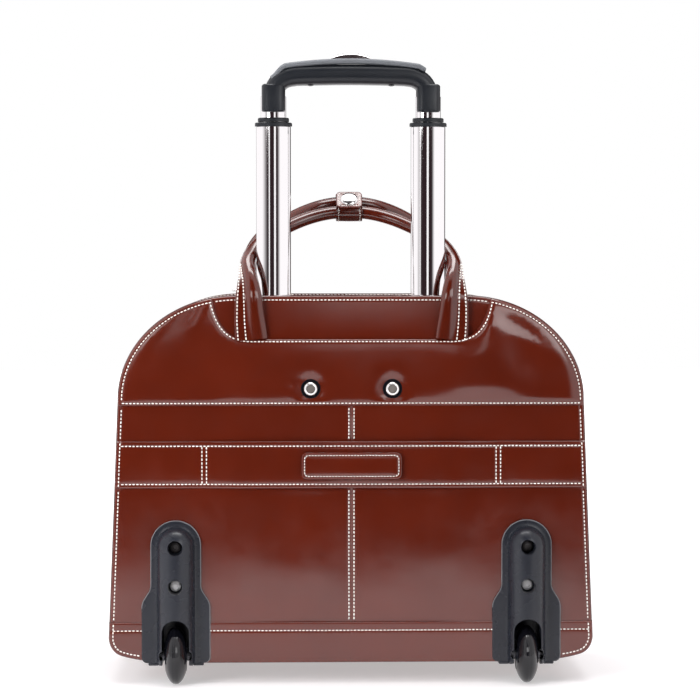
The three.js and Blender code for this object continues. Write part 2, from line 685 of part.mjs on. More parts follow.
function addTrolley() {
  const { low, high } = BRACKET;
  add('upper_bracket', cut(bracket(low, high, low - 10), ...boltHoles()), 'charcoal');
  add('lower_bracket', bracket(BASE_Z + 3, BRACKET.footHigh, SLEEVE.low - GAP), 'charcoal');
  for (const { side, sign } of SIDES) {
    const leg = new THREE.Group();
    leg.position.set(sign * TUBE_X, TUBE_Y, 0);
    laptopCase.add(leg);
    add(`trolley_sleeve_${side}`, tube(SLEEVE), 'steel', leg);
    add(`stage_a_tube_${side}`, tube(STAGE_A), 'steel', leg);
    add(`stage_a_collar_${side}`, collar(COLLAR_A, STAGE_B), 'charcoal', leg);
    add(`stage_b_tube_${side}`, tube(STAGE_B), 'steel', leg);
    add(`stage_b_collar_${side}`, collar(COLLAR_B, STAGE_C), 'charcoal', leg);
    add(`stage_c_tube_${side}`, tube(STAGE_C), 'steel', leg);
  }
}

// ---------------------------------------------------------------- grip

// Top line of the grip, right half, from the middle outwards.
function gripTop() {
  const path = new THREE.Path();
  path.moveTo(0, GRIP.top);
  path.quadraticCurveTo(GRIP.bendX * 0.6, GRIP.top, GRIP.bendX, GRIP.bendZ);
  path.quadraticCurveTo(GRIP.half - 5, GRIP.bendZ - 4, GRIP.half - 3, GRIP.shoulder);
  return path.getPoints(5);
}

function gripOutline() {
  const { half, legInner, legLow, under, corner, shoulder } = GRIP;
  const inner = new THREE.Path();
  inner.absarc(legInner - corner, under - corner, corner, Math.PI / 2, 0, true);
  const right = [
    ...inner.getPoints(4), new THREE.Vector2(legInner, legLow), new THREE.Vector2(half, legLow),
    new THREE.Vector2(half, shoulder), ...gripTop().reverse(),
  ];
  return new THREE.Shape([...right, ...mirrored(right.slice(0, -1))]);
}

// The soft strip along the top of the grip.
function capOutline(thick, half) {
  const top = gripTop().filter((p) => p.x <= half);
  const low = top.map((p) => new THREE.Vector2(p.x, p.y - thick)).reverse();
  const right = [...low.slice(0, -1), new THREE.Vector2(0, GRIP.top - thick)];
  const ring = [...right, ...mirrored(right.slice(0, -1)), ...mirrored(top).slice(0, -1), ...top];
  return new THREE.Shape(ring);
}

function buttonOutline(grow, low) {
  const { half, proud } = BUTTON;
  const top = GRIP.top + proud;
  const shape = new THREE.Shape();
  shape.moveTo(-half - grow, low);
  shape.lineTo(half + grow, low);
  shape.lineTo(half + grow, top - 3.2);
  shape.quadraticCurveTo(half * 0.45, top, 0, top);
  shape.quadraticCurveTo(-half * 0.45, top, -half - grow, top - 3.2);
  return shape;
}

function addGrip() {
  const halfDepth = GRIP.depth / 2;
  const y0 = TUBE_Y - halfDepth;
  const y1 = TUBE_Y + halfDepth;
  const cut0 = TUBE_Y - BUTTON.depth / 2;
  const cut1 = TUBE_Y + BUTTON.depth / 2;
  const buttonLow = GRIP.top - BUTTON.sunk;
  const solid = plate(gripOutline(), y0, y1, 3, GRIP.bevel);
  const capRoom = plate(capOutline(CAP.thick + GAP, CAP.half + GAP), y0 - 2, y1 + 2);
  const aboveCap = capRoom.clone().translate(0, 0, 3);
  const well = plate(buttonOutline(GAP, buttonLow - BUTTON.travel - 1), cut0 - GAP, cut1 + GAP);
  const sockets = tubeRoom(STAGE_C.a + GAP, STAGE_C.b + GAP, GRIP.legLow - 5, STAGE_C.high + GAP);
  add('grip_shell', cut(solid, capRoom, aboveCap, well, ...sockets), 'charcoal');
  const cap = plate(capOutline(CAP.thick, CAP.half), TUBE_Y - CAP.depth / 2, TUBE_Y + CAP.depth / 2);
  add('grip_cap', cut(cap, well), 'softTouch');
  add('grip_button', plate(buttonOutline(0, buttonLow), cut0, cut1), 'nickel');
}

// ---------------------------------------------------------------- tote handles and keeper

// One handle as rings along a smooth curve. The front handle is the rear one mirrored and taller.
function handleGeometry(front) {
  const reach = CROWN.x - REAR;
  const low = LEG[2][2];
  const stations = LEG.map(([x, y, z, width, thick]) => {
    const part = y / reach;
    const shorter = Math.max(0, part) * (CASE_DEPTH - 2 * reach - HANDLE_RISE);
    const forward = front ? CASE_DEPTH - y - shorter : y;
    const height = front && z > low ? z + (HANDLE_RISE * (z - low)) / (CROWN.y - low) : z;
    return { centre: new THREE.Vector3(x, REAR + forward, height), width, thick };
  });
  const whole = [...stations, ...stations.slice(0, -1).reverse().map(({ centre, width, thick }) => (
    { centre: new THREE.Vector3(-centre.x, centre.y, centre.z), width, thick }
  ))];
  const curve = new THREE.CatmullRomCurve3(whole.map((s) => s.centre), false, 'centripetal');
  const steps = 30;
  const sides = 8;
  const rings = [];
  for (let i = 0; i <= steps; i += 1) {
    const t = i / steps;
    const place = t * (whole.length - 1);
    const at = Math.min(Math.floor(place), whole.length - 2);
    const mix = place - at;
    const width = THREE.MathUtils.lerp(whole[at].width, whole[at + 1].width, mix);
    const thick = THREE.MathUtils.lerp(whole[at].thick, whole[at + 1].thick, mix);
    const tangent = curve.getTangent(t);
    const across = new THREE.Vector3().crossVectors(tangent, new THREE.Vector3(0, 1, 0)).normalize();
    const out = new THREE.Vector3().crossVectors(across, tangent).normalize();
    const centre = curve.getPoint(t);
    rings.push(ellipse(width / 2, thick / 2, sides).map((p) => (
      centre.clone().addScaledVector(across, p.x).addScaledVector(out, p.y)
    )));
  }
  return loft(rings);
}

// A slot-shaped outline: two half circles joined by straight sides.
function stadium(halfLength, radius, Kind) {
  const shape = new Kind();
  shape.absarc(halfLength, 0, radius, -Math.PI / 2, Math.PI / 2);
  shape.absarc(-halfLength, 0, radius, Math.PI / 2, Math.PI * 1.5);
  shape.closePath();
  return shape;
}

// The keeper wraps both handles at the crown. Its own axes are U across the pair and N out of its face.
function addKeeper() {
  const pair = HANDLE_RISE / Math.SQRT2;
  const keeper = new THREE.Group();
  keeper.position.set(0, CROWN.x + HANDLE_RISE / 2, CROWN.y + HANDLE_RISE / 2);
  keeper.rotation.x = KEEPER.tilt;
  laptopCase.add(keeper);
  const inner = ROPE / 2 + KEEPER.room;
  const outer = inner + KEEPER.wall;
  const shape = stadium(pair, outer, THREE.Shape);
  shape.holes.push(stadium(pair, inner, THREE.Path));
  const across = { depth: 2 * KEEPER.half, bevelEnabled: false, curveSegments: 5 };
  const band = new THREE.ExtrudeGeometry(shape, across);
  band.translate(0, 0, -KEEPER.half).rotateY(Math.PI / 2).rotateX(Math.PI / 2);
  add('keeper_band', band, 'leather', keeper);
  const base = outer + GAP;
  const tab = column(roundedRect(KEEPER.tabHalf, pair + KEEPER.tabLap, 4), base, base + KEEPER.tabT);
  add('keeper_tab', tab, 'leather', keeper);
  const profile = [[0, 0], [7.8, 0], [7.4, 1.2], [5, 2.6], [0, 3.2]]
    .map(([r, h]) => new THREE.Vector2(r, h));
  const snap = new THREE.LatheGeometry(profile, 16).rotateX(Math.PI / 2);
  add('keeper_snap', snap.translate(0, 0, base + KEEPER.tabT + GAP), 'nickel', keeper);
}

// ---------------------------------------------------------------- assembly

addPanels();
add('base_cover', baseCover(), 'leather');
addGussets();
for (const { side, sign } of SIDES) {
  const x = ZIP_MEET + sign * (SLIDER.length + 1) / 2;
  addSlider(`main_slider_${side}`, `main_pull_${side}`, x, MID, TOP_Z - GUSSET_INSET, sign);
}
addRearFace();
addFront();
addInside();
addFeet();
addWheels();
addTrolley();
addGrip();
add('tote_handle_rear', handleGeometry(false), 'leather');
add('tote_handle_front', handleGeometry(true), 'leather');
addKeeper();

export default laptopCase;
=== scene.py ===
"""Looks of the rolling laptop case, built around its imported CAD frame.

Lengths in the builders are millimetres; make() turns them into metres.
"""
import math

import bpy
import bmesh
import numpy as np
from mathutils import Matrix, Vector, geometry


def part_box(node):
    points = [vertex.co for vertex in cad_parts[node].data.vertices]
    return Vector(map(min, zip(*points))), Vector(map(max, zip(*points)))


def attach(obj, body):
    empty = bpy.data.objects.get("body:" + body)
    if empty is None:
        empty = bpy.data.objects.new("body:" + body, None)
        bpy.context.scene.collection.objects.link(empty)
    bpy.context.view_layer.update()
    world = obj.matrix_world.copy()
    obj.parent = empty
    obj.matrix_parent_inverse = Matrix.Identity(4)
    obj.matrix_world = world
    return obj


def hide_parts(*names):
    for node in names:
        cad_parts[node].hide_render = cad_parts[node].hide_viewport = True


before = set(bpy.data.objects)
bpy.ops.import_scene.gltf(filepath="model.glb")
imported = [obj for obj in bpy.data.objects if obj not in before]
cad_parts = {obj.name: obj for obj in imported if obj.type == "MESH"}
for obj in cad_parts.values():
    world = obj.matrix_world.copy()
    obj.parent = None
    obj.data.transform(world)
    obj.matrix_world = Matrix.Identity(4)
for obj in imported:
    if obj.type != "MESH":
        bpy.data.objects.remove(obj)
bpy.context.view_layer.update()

MM = 0.001
SIDES = (("left", -1), ("right", 1))


def span(node):
    """Lowest and highest corner of a CAD node, in millimetres."""
    low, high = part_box(node)
    return np.array(low) / MM, np.array(high) / MM


# ------------------------------------------------------------ places taken from the frame

def centre_of(node):
    low, high = span(node)
    return (low + high) / 2


REAR = span("rear_panel")[0][1]            # outer face of the rear panel
FRONT = span("front_panel")[1][1]          # outer face of the front panel
MID = centre_of("main_zip")[1]
BASE_Z = span("base_cover")[0][2]
TOP_Z = span("binding_rear")[1][2]
BAND_TOP = span("base_cover")[1][2]
SEAM_Z = span("rear_upper_panel")[0][2]
STRAP_LOW, STRAP_HIGH = span("luggage_strap")[0][2], span("luggage_strap")[1][2]
TUBE_Y = centre_of("grip_shell")[1]
TUBE_X = centre_of("stage_a_tube_right")[0]
WHEEL_X, WHEEL_Y, _ = centre_of("wheel_tyre_right")
WHEEL_R = span("wheel_tyre_right")[1][2] / 2
BOLT_X, _, BOLT_Z = centre_of("frame_bolt_right")

# Outline of the case, as in the CAD
TOP_HALF = 102.5
SHOULDER_Z, SHOULDER_HALF = 252.0, 207.5
HIP_Z, HIP_HALF = 40.0, 216.0
FLAT_HALF = 150.0
YOKE_Z, YOKE_LEVEL_HALF, YOKE_TOP_HALF = 306.7, 88.0, 124.0

# Levels: how far each surface stands proud of the panel's CAD face
LOWER, UPPER, YOKE, BAND = 0.9, 2.5, 1.5, 3.0
INSET = 0.7                                # leather edge in from the outline, under the binding
EDGE_STITCH = 4.0                          # from the outline in to the edge stitching
FOLD_STITCH = 2.6                          # from a folded edge in to its stitching


# ------------------------------------------------------------ materials

def node_of(tree, kind, **inputs):
    node = tree.nodes.new(kind)
    for key, value in inputs.items():
        node.inputs[key.replace("_", " ")].default_value = value
    return node


def material(name, color, rough, metal=0.0, vary=0.05, vary_scale=25.0, rough_vary=0.04,
             rough_scale=60.0, ior=1.5, bumps=(), stretch=(1, 1, 1)):
    """A procedural surface: mottled colour and roughness, and bumps of (scale, depth in metres, strength)."""
    made = bpy.data.materials.new(name)
    made.use_nodes = True
    tree = made.node_tree
    shader = tree.nodes["Principled BSDF"]
    shader.inputs["Metallic"].default_value = metal
    shader.inputs["IOR"].default_value = ior
    coords = tree.nodes.new("ShaderNodeTexCoord")
    mapping = tree.nodes.new("ShaderNodeMapping")
    mapping.inputs["Scale"].default_value = stretch
    tree.links.new(coords.outputs["Object"], mapping.inputs["Vector"])

    def noise(scale, detail=3.0):
        found = node_of(tree, "ShaderNodeTexNoise", Scale=scale, Detail=detail)
        tree.links.new(mapping.outputs["Vector"], found.inputs["Vector"])
        return found.outputs["Fac"]

    ramp = tree.nodes.new("ShaderNodeValToRGB")
    ramp.color_ramp.elements[0].position = 0.3
    ramp.color_ramp.elements[1].position = 0.7
    ramp.color_ramp.elements[0].color = (*[c * (1 - vary) for c in color], 1)
    ramp.color_ramp.elements[1].color = (*[min(1, c * (1 + vary)) for c in color], 1)
    tree.links.new(noise(vary_scale), ramp.inputs["Fac"])
    tree.links.new(ramp.outputs["Color"], shader.inputs["Base Color"])
    spread = node_of(tree, "ShaderNodeMapRange", From_Min=0.3, From_Max=0.7,
                     To_Min=max(0.01, rough - rough_vary), To_Max=rough + rough_vary)
    tree.links.new(noise(rough_scale), spread.inputs["Value"])
    tree.links.new(spread.outputs["Result"], shader.inputs["Roughness"])
    before = None
    for scale, depth, strength in bumps:
        bump = node_of(tree, "ShaderNodeBump", Strength=strength, Distance=depth)
        tree.links.new(noise(scale), bump.inputs["Height"])
        if before:
            tree.links.new(before, bump.inputs["Normal"])
        before = bump.outputs["Normal"]
    if before:
        tree.links.new(before, shader.inputs["Normal"])
    return made


LEATHER_COLOR = (0.095, 0.0104, 0.0031)
PEBBLE = (1500.0, 0.00004, 0.20)           # fine grain, on top of each kind's slow waves
PANEL_WAVES, STRAP_WAVES = (60.0, 0.0006, 0.14), (90.0, 0.0004, 0.14)


def leather_kind(name, share, rough, bumps, vary=0.08, vary_scale=22, rough_vary=0.03):
    """The case's glossy leather at a share of its colour; the lower shares are darker copies that paint
    shade.
    """
    return material(name, [share * c for c in LEATHER_COLOR], rough, vary=vary, vary_scale=vary_scale,
                    rough_vary=rough_vary, ior=1.65, bumps=bumps)


leather = leather_kind("oxblood_leather", 1.0, 0.155, (PANEL_WAVES, PEBBLE), vary=0.10, vary_scale=14)
strap_leather = leather_kind("oxblood_strap_leather", 1.0, 0.14, (STRAP_WAVES, PEBBLE))
# Painted shade: the handles take a copy of the leather at 82% of its colour, so the lamp-lit ropes read as
# shaded.
handle_leather_painted_shade = leather_kind("oxblood_handle_leather_painted_shade", 0.82, 0.13, (STRAP_WAVES, PEBBLE))
# Painted shade: the binding and the keeper band take a copy of the leather at 55% of its colour, standing in
# for the shade on the rolled edges and on the band.
rim_leather_painted_shade = leather_kind("oxblood_rim_leather_painted_shade", 0.55, 0.16, (STRAP_WAVES,), vary=0.10, rough_vary=0.04)
thread = material("cream_thread", (1.0, 0.93, 0.86), 0.55, vary=0.10, vary_scale=300,
                  bumps=((2500.0, 0.0001, 0.6),))

chrome = material("polished_tube_metal", (0.89, 0.88, 0.89), 0.045, metal=1.0, vary=0.015, rough_vary=0.02,
                  rough_scale=900, stretch=(1, 1, 0.01), bumps=((700.0, 0.00001, 0.08),))
nickel = material("bright_nickel", (0.86, 0.85, 0.84), 0.12, metal=1.0, vary=0.03,
                  bumps=((900.0, 0.00003, 0.2),))
screw_bright = material("screw_zinc", (0.95, 0.95, 0.95), 0.45, metal=0.2, vary=0.1,
                        bumps=((600.0, 0.0001, 0.3),))
screw_dark = material("screw_black", (0.055, 0.050, 0.050), 0.30, metal=0.4, vary=0.1,
                      bumps=((600.0, 0.0001, 0.3),))
# Painted shade: the bolt's core is a dark disc that stands in for the shade in its driver socket.
bolt_core_painted_shade = material("bolt_core_painted_shade_steel", (0.13, 0.115, 0.105), 0.5, metal=0.2, vary=0.15,
                     bumps=((900.0, 0.0001, 0.4),))
# Painted shade: the axle is dark so that its ends read as the shade in the housings' notches.
axle_metal_painted_shade = material("axle_steel_painted_shade", (0.10, 0.10, 0.11), 0.35, metal=1.0, bumps=((900.0, 0.00003, 0.3),))
sleeve_metal = material("sleeve_steel", (0.62, 0.62, 0.64), 0.32, metal=1.0, stretch=(1, 1, 0.05),
                        bumps=((900.0, 0.00003, 0.3),))
teeth_metal = material("zip_teeth_metal", (0.42, 0.34, 0.25), 0.3, metal=1.0, bumps=((800.0, 0.00005, 0.3),))

charcoal = material("charcoal_plastic", (0.015, 0.017, 0.024), 0.27, vary=0.06, ior=1.42, rough_vary=0.05,
                    bumps=((1400.0, 0.00008, 0.35), (60.0, 0.0004, 0.10)))
# Painted highlight: the light grey plastic of the housing's edge bead stands in for the light caught along
# the flange's edge.
plastic_edge_painted_highlight = material("charcoal_plastic_edge_painted_highlight", (0.19, 0.19, 0.20), 0.30, bumps=((900.0, 0.00005, 0.3),))
grip_plastic = material("grip_plastic", (0.009, 0.011, 0.015), 0.34, vary=0.06, ior=1.42,
                        bumps=((1600.0, 0.0001, 0.5),))
soft_touch = material("soft_touch_strip", (0.145, 0.155, 0.170), 0.62, bumps=((1200.0, 0.00012, 0.5),))
rubber = material("wheel_rubber", (0.004, 0.004, 0.006), 0.14, vary=0.1, ior=1.48, rough_vary=0.06,
                  bumps=((500.0, 0.0001, 0.15),))

zip_tape = material("zip_tape", (0.030, 0.012, 0.008), 0.75, vary=0.15, vary_scale=900,
                    bumps=((1800.0, 0.0003, 0.8),))
lining = material("lining_fabric", (0.06, 0.045, 0.035), 0.85, vary=0.12, vary_scale=1200,
                  bumps=((1600.0, 0.0003, 0.9),))
board = material("stiffener_board", (0.07, 0.055, 0.045), 0.8, vary=0.1, bumps=((400.0, 0.0003, 0.5),))


# ------------------------------------------------------------ making objects

def new_object(name, data):
    found = bpy.data.objects.new(name, data)
    bpy.context.scene.collection.objects.link(found)
    return found


def make(name, verts, faces, surface, slot, body="root", replaces=(), angle=38.0, recalc=True):
    """A mesh object from millimetre coordinates, shaded smooth below an edge angle, riding on a body."""
    mesh = bpy.data.meshes.new(name)
    mesh.from_pydata((np.asarray(verts, float) * MM).tolist(), [], [tuple(f) for f in faces])
    if recalc:
        bm = bmesh.new()
        bm.from_mesh(mesh)
        bmesh.ops.recalc_face_normals(bm, faces=bm.faces)
        bm.to_mesh(mesh)
        bm.free()
    mesh.shade_smooth()
    mesh.set_sharp_from_angle(angle=math.radians(angle))
    mesh.materials.append(surface)
    piece = new_object(name, mesh)
    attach(piece, body)
    if replaces:
        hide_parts(*replaces)
    return piece


class Shell:
    """Collects vertices and faces of several closed shells into one piece."""

    def __init__(self):
        self.verts, self.faces = [], []

    def add(self, verts, faces):
        start = len(self.verts)
        self.verts.extend(np.asarray(verts, float).tolist())
        self.faces.extend([start + i for i in face] for face in faces)

    def make(self, name, *rest, **more):
        return make(name, self.verts, self.faces, *rest, **more)


def loft(rings, closed=False):
    """Skin through equal rings, with a flat cap at each end unless it closes on itself."""
    rings = [np.asarray(r, float) for r in rings]
    around = len(rings[0])
    verts = np.concatenate(rings)
    faces = []
    count = len(rings)
    for r in range(count if closed else count - 1):
        for i in range(around):
            j = (i + 1) % around
            a, b = r * around, ((r + 1) % count) * around
            faces.append((a + i, a + j, b + j, b + i))
    if not closed:
        faces.append(tuple(reversed(range(around))))
        faces.append(tuple(range((count - 1) * around, count * around)))
    return verts, faces


def lathe(profile, segments, axis, centre):
    """Closed profile of (radius, height) turned about an axis through a centre."""
    profile = np.asarray(profile, float)
    rings = []
    for k in range(segments):
        turn = 2 * math.pi * k / segments
        u, v = profile[:, 0] * math.cos(turn), profile[:, 0] * math.sin(turn)
        h = profile[:, 1]
        place = {"X": (h, u, v), "Y": (u, h, v), "Z": (u, v, h)}[axis]
        rings.append(np.stack(place, 1) + centre)
    return loft(rings, closed=True)


def turned(profile, segments, axis, centre):
    """A solid turned from an open profile that starts and ends on the axis."""
    off_axis = [p for p in profile if p[0] > 1e-6]
    verts, faces = [], []
    for radius, height in off_axis:
        for k in range(segments):
            turn = 2 * math.pi * k / segments
            verts.append((radius * math.cos(turn), radius * math.sin(turn), height))
    around = [(k, (k + 1) % segments) for k in range(segments)]
    for low in range(0, (len(off_axis) - 1) * segments, segments):
        faces += [(low + k, low + j, low + segments + j, low + segments + k) for k, j in around]
    for ring, height in ((0, profile[0][1]), (len(off_axis) - 1, profile[-1][1])):
        verts.append((0, 0, height))
        faces += [(len(verts) - 1, ring * segments + k, ring * segments + j) for k, j in around]
    order = {"X": (2, 0, 1), "Y": (0, 2, 1), "Z": (0, 1, 2)}[axis]
    return np.array(verts)[:, order] + centre, faces


def rounded(half_x, half_z, radius, steps=6, centre=(0, 0)):
    """A rounded rectangle, anticlockwise."""
    points = []
    for k, (sx, sz) in enumerate(((1, -1), (1, 1), (-1, 1), (-1, -1))):
        for i in range(steps + 1):
            turn = math.pi / 2 * (k - 1 + i / steps)
            points.append((centre[0] + sx * (half_x - radius) + radius * math.cos(turn),
                           centre[1] + sz * (half_z - radius) + radius * math.sin(turn)))
    return np.array(points)


# ------------------------------------------------------------ lines in a plane

def turns(sides):
    """Even angles once round."""
    return np.linspace(0, 2 * math.pi, sides, endpoint=False)


def tangents(line):
    along = np.gradient(np.asarray(line, float), axis=0)
    return along / np.linalg.norm(along, axis=1, keepdims=True)


def mirrored(right):
    """The same points on the left, in the opposite order."""
    return np.asarray(right)[::-1] * (-1, 1)


def joined_up(loop):
    """A loop that ends on its first point again."""
    return np.concatenate((loop, loop[:1]))


def subdivide(line, step, closed=False):
    line = np.asarray(line, float)
    out = []
    for i in range(len(line) if closed else len(line) - 1):
        a, b = line[i], line[(i + 1) % len(line)]
        parts = max(1, int(math.ceil(np.linalg.norm(b - a) / step)))
        out.extend(a + (b - a) * k / parts for k in range(parts))
    if not closed:
        out.append(line[-1])
    return np.array(out)


def normals_of(line, closed=False):
    """Left-hand normals, so they point into an anticlockwise loop."""
    line = np.asarray(line, float)
    if closed:
        along = np.roll(line, -1, 0) - np.roll(line, 1, 0)
    else:
        along = np.gradient(line, axis=0)
    along /= np.maximum(np.linalg.norm(along, axis=1, keepdims=True), 1e-9)
    return np.stack((-along[:, 1], along[:, 0]), 1)


def offset(line, distance, closed=False):
    return np.asarray(line, float) + normals_of(line, closed) * distance


def distance_to(points, line, closed=False):
    points, a = np.asarray(points, float), np.asarray(line, float)
    b = np.roll(a, -1, 0) if closed else a[1:]
    a = a if closed else a[:-1]
    d = b - a
    size = np.maximum((d * d).sum(1), 1e-12)
    out = np.empty(len(points))
    for start in range(0, len(points), 1500):
        p = points[start:start + 1500, None, :] - a[None]
        t = np.clip((p * d).sum(-1) / size, 0, 1)
        out[start:start + 1500] = np.linalg.norm(p - t[..., None] * d, axis=-1).min(1)
    return out


def inside(points, loop):
    x, y = np.asarray(points, float).T
    result = np.zeros(len(x), bool)
    for (x0, y0), (x1, y1) in zip(loop, np.roll(loop, -1, 0)):
        if y0 == y1:
            continue
        crosses = (y0 > y) != (y1 > y)
        result ^= crosses & (x < (x1 - x0) * (y - y0) / (y1 - y0) + x0)
    return result


def smooth(value, low, high):
    """0 up to low, 1 from high, eased between."""
    t = np.clip((np.asarray(value, float) - low) / (high - low), 0, 1)
    return t * t * (3 - 2 * t)


def swell(away, run):
    """0 at an edge, rising towards 1 over a run."""
    return 1 - np.exp(-away / run)


WAVES = [(0.31, 0.95, 0.3), (-0.87, 0.5, 1.7), (0.98, -0.2, 2.9), (0.6, 0.8, 4.4), (-0.35, 0.94, 5.1)]


def ripple(points, length, height, phase=0.0):
    """Slow, even waviness of a soft surface."""
    total = np.zeros(len(points))
    for k, (ux, uz, start) in enumerate(WAVES):
        run = (points[:, 0] * ux + points[:, 1] * uz) * 2 * math.pi / (length * (1 + 0.37 * k))
        total += np.sin(run + start + phase * (k + 1))
    return total * height / len(WAVES)


# ------------------------------------------------------------ the case's outline

def side_half(z):
    return HIP_HALF - (HIP_HALF - SHOULDER_HALF) * (z - HIP_Z) / (SHOULDER_Z - HIP_Z)


def top_line(x):
    """Height of the outline's top at a distance from the middle."""
    part = np.clip((np.abs(x) - TOP_HALF) / (SHOULDER_HALF - TOP_HALF), 0, 1)
    return SHOULDER_Z + (TOP_Z - SHOULDER_Z) * np.sqrt(1 - part ** 2)


def quad(a, b, c, steps):
    a, b, c = map(np.array, (a, b, c))
    return [((1 - t) ** 2) * a + 2 * t * (1 - t) * b + t * t * c for t in np.linspace(0, 1, steps + 1)]


def right_side(z_from):
    """Right half of the outline from a height up to the middle of the top."""
    run = [(side_half(z), z) for z in np.linspace(z_from, SHOULDER_Z, 40)]
    for turn in np.linspace(0, math.pi / 2, 61)[1:]:
        run.append((TOP_HALF + (SHOULDER_HALF - TOP_HALF) * math.cos(turn),
                    SHOULDER_Z + (TOP_Z - SHOULDER_Z) * math.sin(turn)))
    run.extend((x, TOP_Z) for x in np.linspace(TOP_HALF, 0, 30)[1:])
    return np.array(run)


def right_bottom(z_to):
    """Right half of the outline from the middle of the bottom up to a height."""
    run = [(x, BASE_Z) for x in np.linspace(0, FLAT_HALF, 30)[:-1]]
    run += quad((FLAT_HALF, BASE_Z), (FLAT_HALF + 34, BASE_Z + 0.5), (HIP_HALF - 13, BASE_Z + 6), 12)[:-1]
    run += quad((HIP_HALF - 13, BASE_Z + 6), (HIP_HALF - 1.5, BASE_Z + 9), (HIP_HALF, HIP_Z), 12)
    if z_to > HIP_Z:
        run += [(side_half(z), z) for z in np.linspace(HIP_Z, z_to, 5)[1:]]
    return np.array(run)


def both(right_from_bottom):
    """A right half that ends in the middle, carried on by its mirror."""
    right = np.asarray(right_from_bottom)
    return np.concatenate((right, mirrored(right)[1:]))


def upper_run(z_from):
    """Over the top, from the right side to the left, anticlockwise."""
    return both(right_side(z_from))


def lower_run(z_to):
    """Under the bottom, from the left side to the right, anticlockwise."""
    right = right_bottom(z_to)
    return np.concatenate((mirrored(right)[:-1], right))


def yoke_seam(drop=0.0):
    """Right half of the yoke seam, from the level stretch out to the top edge."""
    z = float(top_line(YOKE_TOP_HALF)) + 4
    a, b, c, d = map(np.array, ((YOKE_TOP_HALF, z), (YOKE_TOP_HALF - 5, z - 29),
                                (YOKE_LEVEL_HALF + 22, YOKE_Z), (YOKE_LEVEL_HALF, YOKE_Z)))
    curve = [(1 - t) ** 3 * a + 3 * t * (1 - t) ** 2 * b + 3 * t * t * (1 - t) * c + t ** 3 * d
             for t in np.linspace(0, 1, 28)]
    curve = np.array(curve[::-1])
    return offset(curve, -drop) if drop else curve


# ------------------------------------------------------------ stitching

class Stitches(Shell):
    """Rows of separate thread stitches, each a short capsule sunk at its ends."""

    def row(self, points, outward, pitch=3.3, length=2.5, width=1.3, rise=0.6):
        """Stitches along a line, standing up towards the outward direction at each of its points."""
        points = np.asarray(points, float)
        outward = np.broadcast_to(np.asarray(outward, float), points.shape)
        steps = np.linalg.norm(np.diff(points, axis=0), axis=1)
        run = np.concatenate(([0], np.cumsum(steps)))
        count = max(1, int(round(run[-1] / pitch)))
        for at in (np.arange(count) + 0.5) * run[-1] / count:
            ends = [np.array([np.interp(s, run, points[:, i]) for i in range(3)])
                    for s in (max(0, at - length / 2), min(run[-1], at + length / 2))]
            up = np.array([np.interp(at, run, outward[:, i]) for i in range(3)])
            along = ends[1] - ends[0]
            size = np.linalg.norm(along)
            if size < 0.2:
                continue
            along /= size
            up -= along * up.dot(along)
            up /= max(np.linalg.norm(up), 1e-9)
            across = np.cross(along, up)
            middle = (ends[0] + ends[1]) / 2
            verts = []
            for s, girth, lift in ((-0.36, 0.8, 0.55), (0, 1, 1), (0.36, 0.8, 0.55)):
                for k in range(6):
                    turn = math.pi / 3 * k
                    verts.append(middle + along * s * length
                                 + across * (width / 2 * girth * math.cos(turn))
                                 + up * (width / 2 * girth * math.sin(turn) + (rise - width / 2) * lift))
            verts.append(middle - along * length * 0.5 - up * 0.25)
            verts.append(middle + along * length * 0.5 - up * 0.25)
            around = [(k, (k + 1) % 6) for k in range(6)]
            faces = [(r + k, r + j, r + 6 + j, r + 6 + k) for r in (0, 6) for k, j in around]
            faces += [(18, j, k) for k, j in around] + [(19, 12 + k, 12 + j) for k, j in around]
            self.add(verts, faces)

    def on_panel(self, line, level, base, sign, **more):
        """A row along a line of X and Z on a panel whose surface stands level(points) proud of base."""
        line = subdivide(line, 1.5)
        y = base + sign * level(line)
        self.row(np.stack((line[:, 0], y, line[:, 1]), 1), (0, sign, 0), **more)


# ------------------------------------------------------------ leather panels

def groove(points, lines, depth=0.45, width=0.85):
    """How far rows of stitching draw the surface in."""
    total = np.zeros(len(points))
    for line in lines:
        total = np.maximum(total, np.exp(-(distance_to(points, line) / width) ** 2))
    return total * depth


